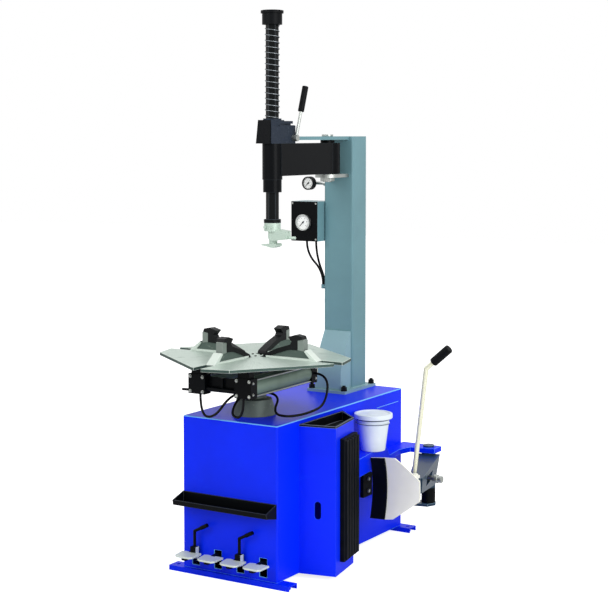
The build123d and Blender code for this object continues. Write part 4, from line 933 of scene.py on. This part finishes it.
pail_x, pail_y = pail_at[:2]
handle_wide, handle_deep, handle_z = 59.0, 57.6, 459.5
wire("pail_handle", body_of_node["bucket"],
     [(pail_x + handle_wide * math.cos(a), pail_y + handle_deep * math.sin(a), handle_z)
      for a in (math.radians(-170 + 180 * k / 16) for k in range(17))], 1.1, pail_line)
groove_radius, groove_z = 57.2, 473.4
wire("pail_groove_line", body_of_node["bucket"],
     [(pail_x + groove_radius * math.cos(a), pail_y + groove_radius * math.sin(a), groove_z)
      for a in (2 * math.pi * k / 32 for k in range(32))], 2.0, pail_line, True)
# This thin light-blue wire on the cabinet's side is a painted highlight along the bend of the wall.
wire("side_crease_highlight", "machine", [(right_wall, y, 477) for y in (228, 300, 387)], 1.1, blue_edge_highlight)
wire("air_inlet_pipe", "turntable", [(-118, -449, 614), (-140, -449, 614), (-164, -449, 613)], 4.2,
     black_plastic)
print("wire handle, groove, crease and inlet pipe drawn")

# %% [markdown]
# ## Hoses
# Air reaches the clamp cylinders through hoses that turn with the table, and the gauges through two
# more. A hose bends in smooth curves, never in corners, so each is a NURBS curve whose control
# points are the corners of its route. The route starts and ends straight in its fitting.

# %% Lay the hoses
def hose(name, body, points):
    """One hose along its route."""
    curve = bent(name, points, 4, 5, 16)
    curve.materials.append(hose_rubber)
    obj = linked(name + "_line", curve)
    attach(obj, body)
    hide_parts(name)


turning = [("table_hose_1", [(-90, -453, 608), (-90, -453, 533), (-34, -451, 533), (-22, -385, 595),
                             (-22, -323, 595)], 262),
           ("table_hose_2", [(78, -453, 608), (78, -453, 541), (22, -447, 541), (12, -387, 595),
                             (12, -323, 595)], 247),
           ("table_hose_3", [(122, -92, 640), (178, -92, 640), (184, -123, 545), (184, -225, 533),
                             (164, -325, 533), (110, -333, 541), (104, -275, 595), (48, -275, 595)], 505)]
fixed = [("gauge_hose_1", [(-116, 246, 1056), (-116, 246, 1010), (-72, 286, 944), (-72, 286, 897)], 178),
         ("gauge_hose_2", [(-104, 290, 1056), (-104, 290, 1000), (-78, 320, 900), (-78, 320, 842)], 220)]
for name, points, length in turning:
    hose(name, "turntable", points)
for name, points, length in fixed:
    hose(name, "machine", points)
print(len(turning) + len(fixed), "hoses laid")

# %% [markdown]
# ## Floor and world
# A white floor and world show a clean studio background to the camera, while softer values light
# the machine, so that its own colours stay as painted.

# %% Studio floor and world
def studio_white(name, seen, lit):
    """A diffuse white to which a glow is added that only the camera sees."""
    f = Finish(name, Roughness=0.9, Specular_IOR_Level=0.0, Base_Color=(lit, lit, lit, 1.0))
    for_camera = f.node("ShaderNodeLightPath", output="Is Camera Ray")
    none = f.node("ShaderNodeEmission", {}, {"Strength": 0.0})
    glow = f.node("ShaderNodeEmission", {}, {"Strength": seen})
    choose = f.node("ShaderNodeMixShader", {}, [for_camera, none, glow])
    f.join(f.surface, f.node("ShaderNodeAddShader", {}, [Wire(f, f.shader.outputs[0]), choose]))
    return f.material


edge = 14
floor_mesh = bpy.data.meshes.new("studio_floor")
floor_mesh.from_pydata([(-edge, -edge, 0), (edge, -edge, 0), (edge, edge, 0), (-edge, edge, 0)], [],
                       [(0, 1, 2, 3)])
floor = add("studio_floor", floor_mesh, [studio_white("studio_floor", 0.80, 0.80)], None)

world = bpy.data.worlds.new("studio")
bpy.context.scene.world = world
world.use_nodes = True
nodes, links = world.node_tree.nodes, world.node_tree.links
nodes.clear()
path = nodes.new("ShaderNodeLightPath")
sky = nodes.new("ShaderNodeBackground")
sky.inputs["Color"].default_value = (1.0, 1.0, 1.0, 1.0)
straight = nodes.new("ShaderNodeMath")
through = nodes.new("ShaderNodeMath")
straight.operation = through.operation = "MAXIMUM"
world_lights, world_seen = 0.55, 1.0
level = nodes.new("ShaderNodeMapRange")
level.inputs["To Min"].default_value = world_lights
level.inputs["To Max"].default_value = world_seen
links.new(path.outputs["Is Camera Ray"], straight.inputs[0])
links.new(path.outputs["Is Glossy Ray"], straight.inputs[1])
links.new(straight.outputs[0], through.inputs[0])
links.new(path.outputs["Is Transmission Ray"], through.inputs[1])
links.new(through.outputs[0], level.inputs["Value"])
links.new(level.outputs[0], sky.inputs["Strength"])
links.new(sky.outputs[0], nodes.new("ShaderNodeOutputWorld").inputs["Surface"])
print("studio ready")

# %% [markdown]
# ## Lamps and camera
# Large area lamps give long soft highlights on the folded edges. The camera stands in front of the
# machine, to the operator's right, and looks a little down.

# %% Set the lamps and the camera
def lamp(name, place, towards, size, power):
    """A square soft white light aimed at a point."""
    light = bpy.data.lights.new(name, "AREA")
    light.size = size
    light.energy = power
    obj = linked(name, light)
    obj.location = place
    obj.rotation_euler = (Vector(towards) - Vector(place)).to_track_quat("-Z", "Y").to_euler()


lamp("key", (-1.2, -4.0, 3.2), (0, 0, 0.9), 2.2, 70)
lamp("fill", (4.2, -1.6, 2.0), (0.1, 0, 0.6), 2.4, 108)
lamp("top", (0.4, 0.6, 4.2), (0, 0, 0.8), 2.6, 50)

camera = bpy.data.cameras.new("camera")
camera.sensor_width = 36.0
camera.lens = 88.1
camera.shift_y = -0.12
looks_down, turned_left = 3.76, 31.70
eye = linked("camera", camera)
eye.location = (2.695, -4.326, 1.444)
eye.rotation_euler = (math.radians(90 - looks_down), 0.0, math.radians(turned_left))
bpy.context.scene.camera = eye
bpy.context.scene.view_settings.view_transform = "Standard"
print("camera", tuple(round(v, 3) for v in eye.location), "lens", camera.lens)
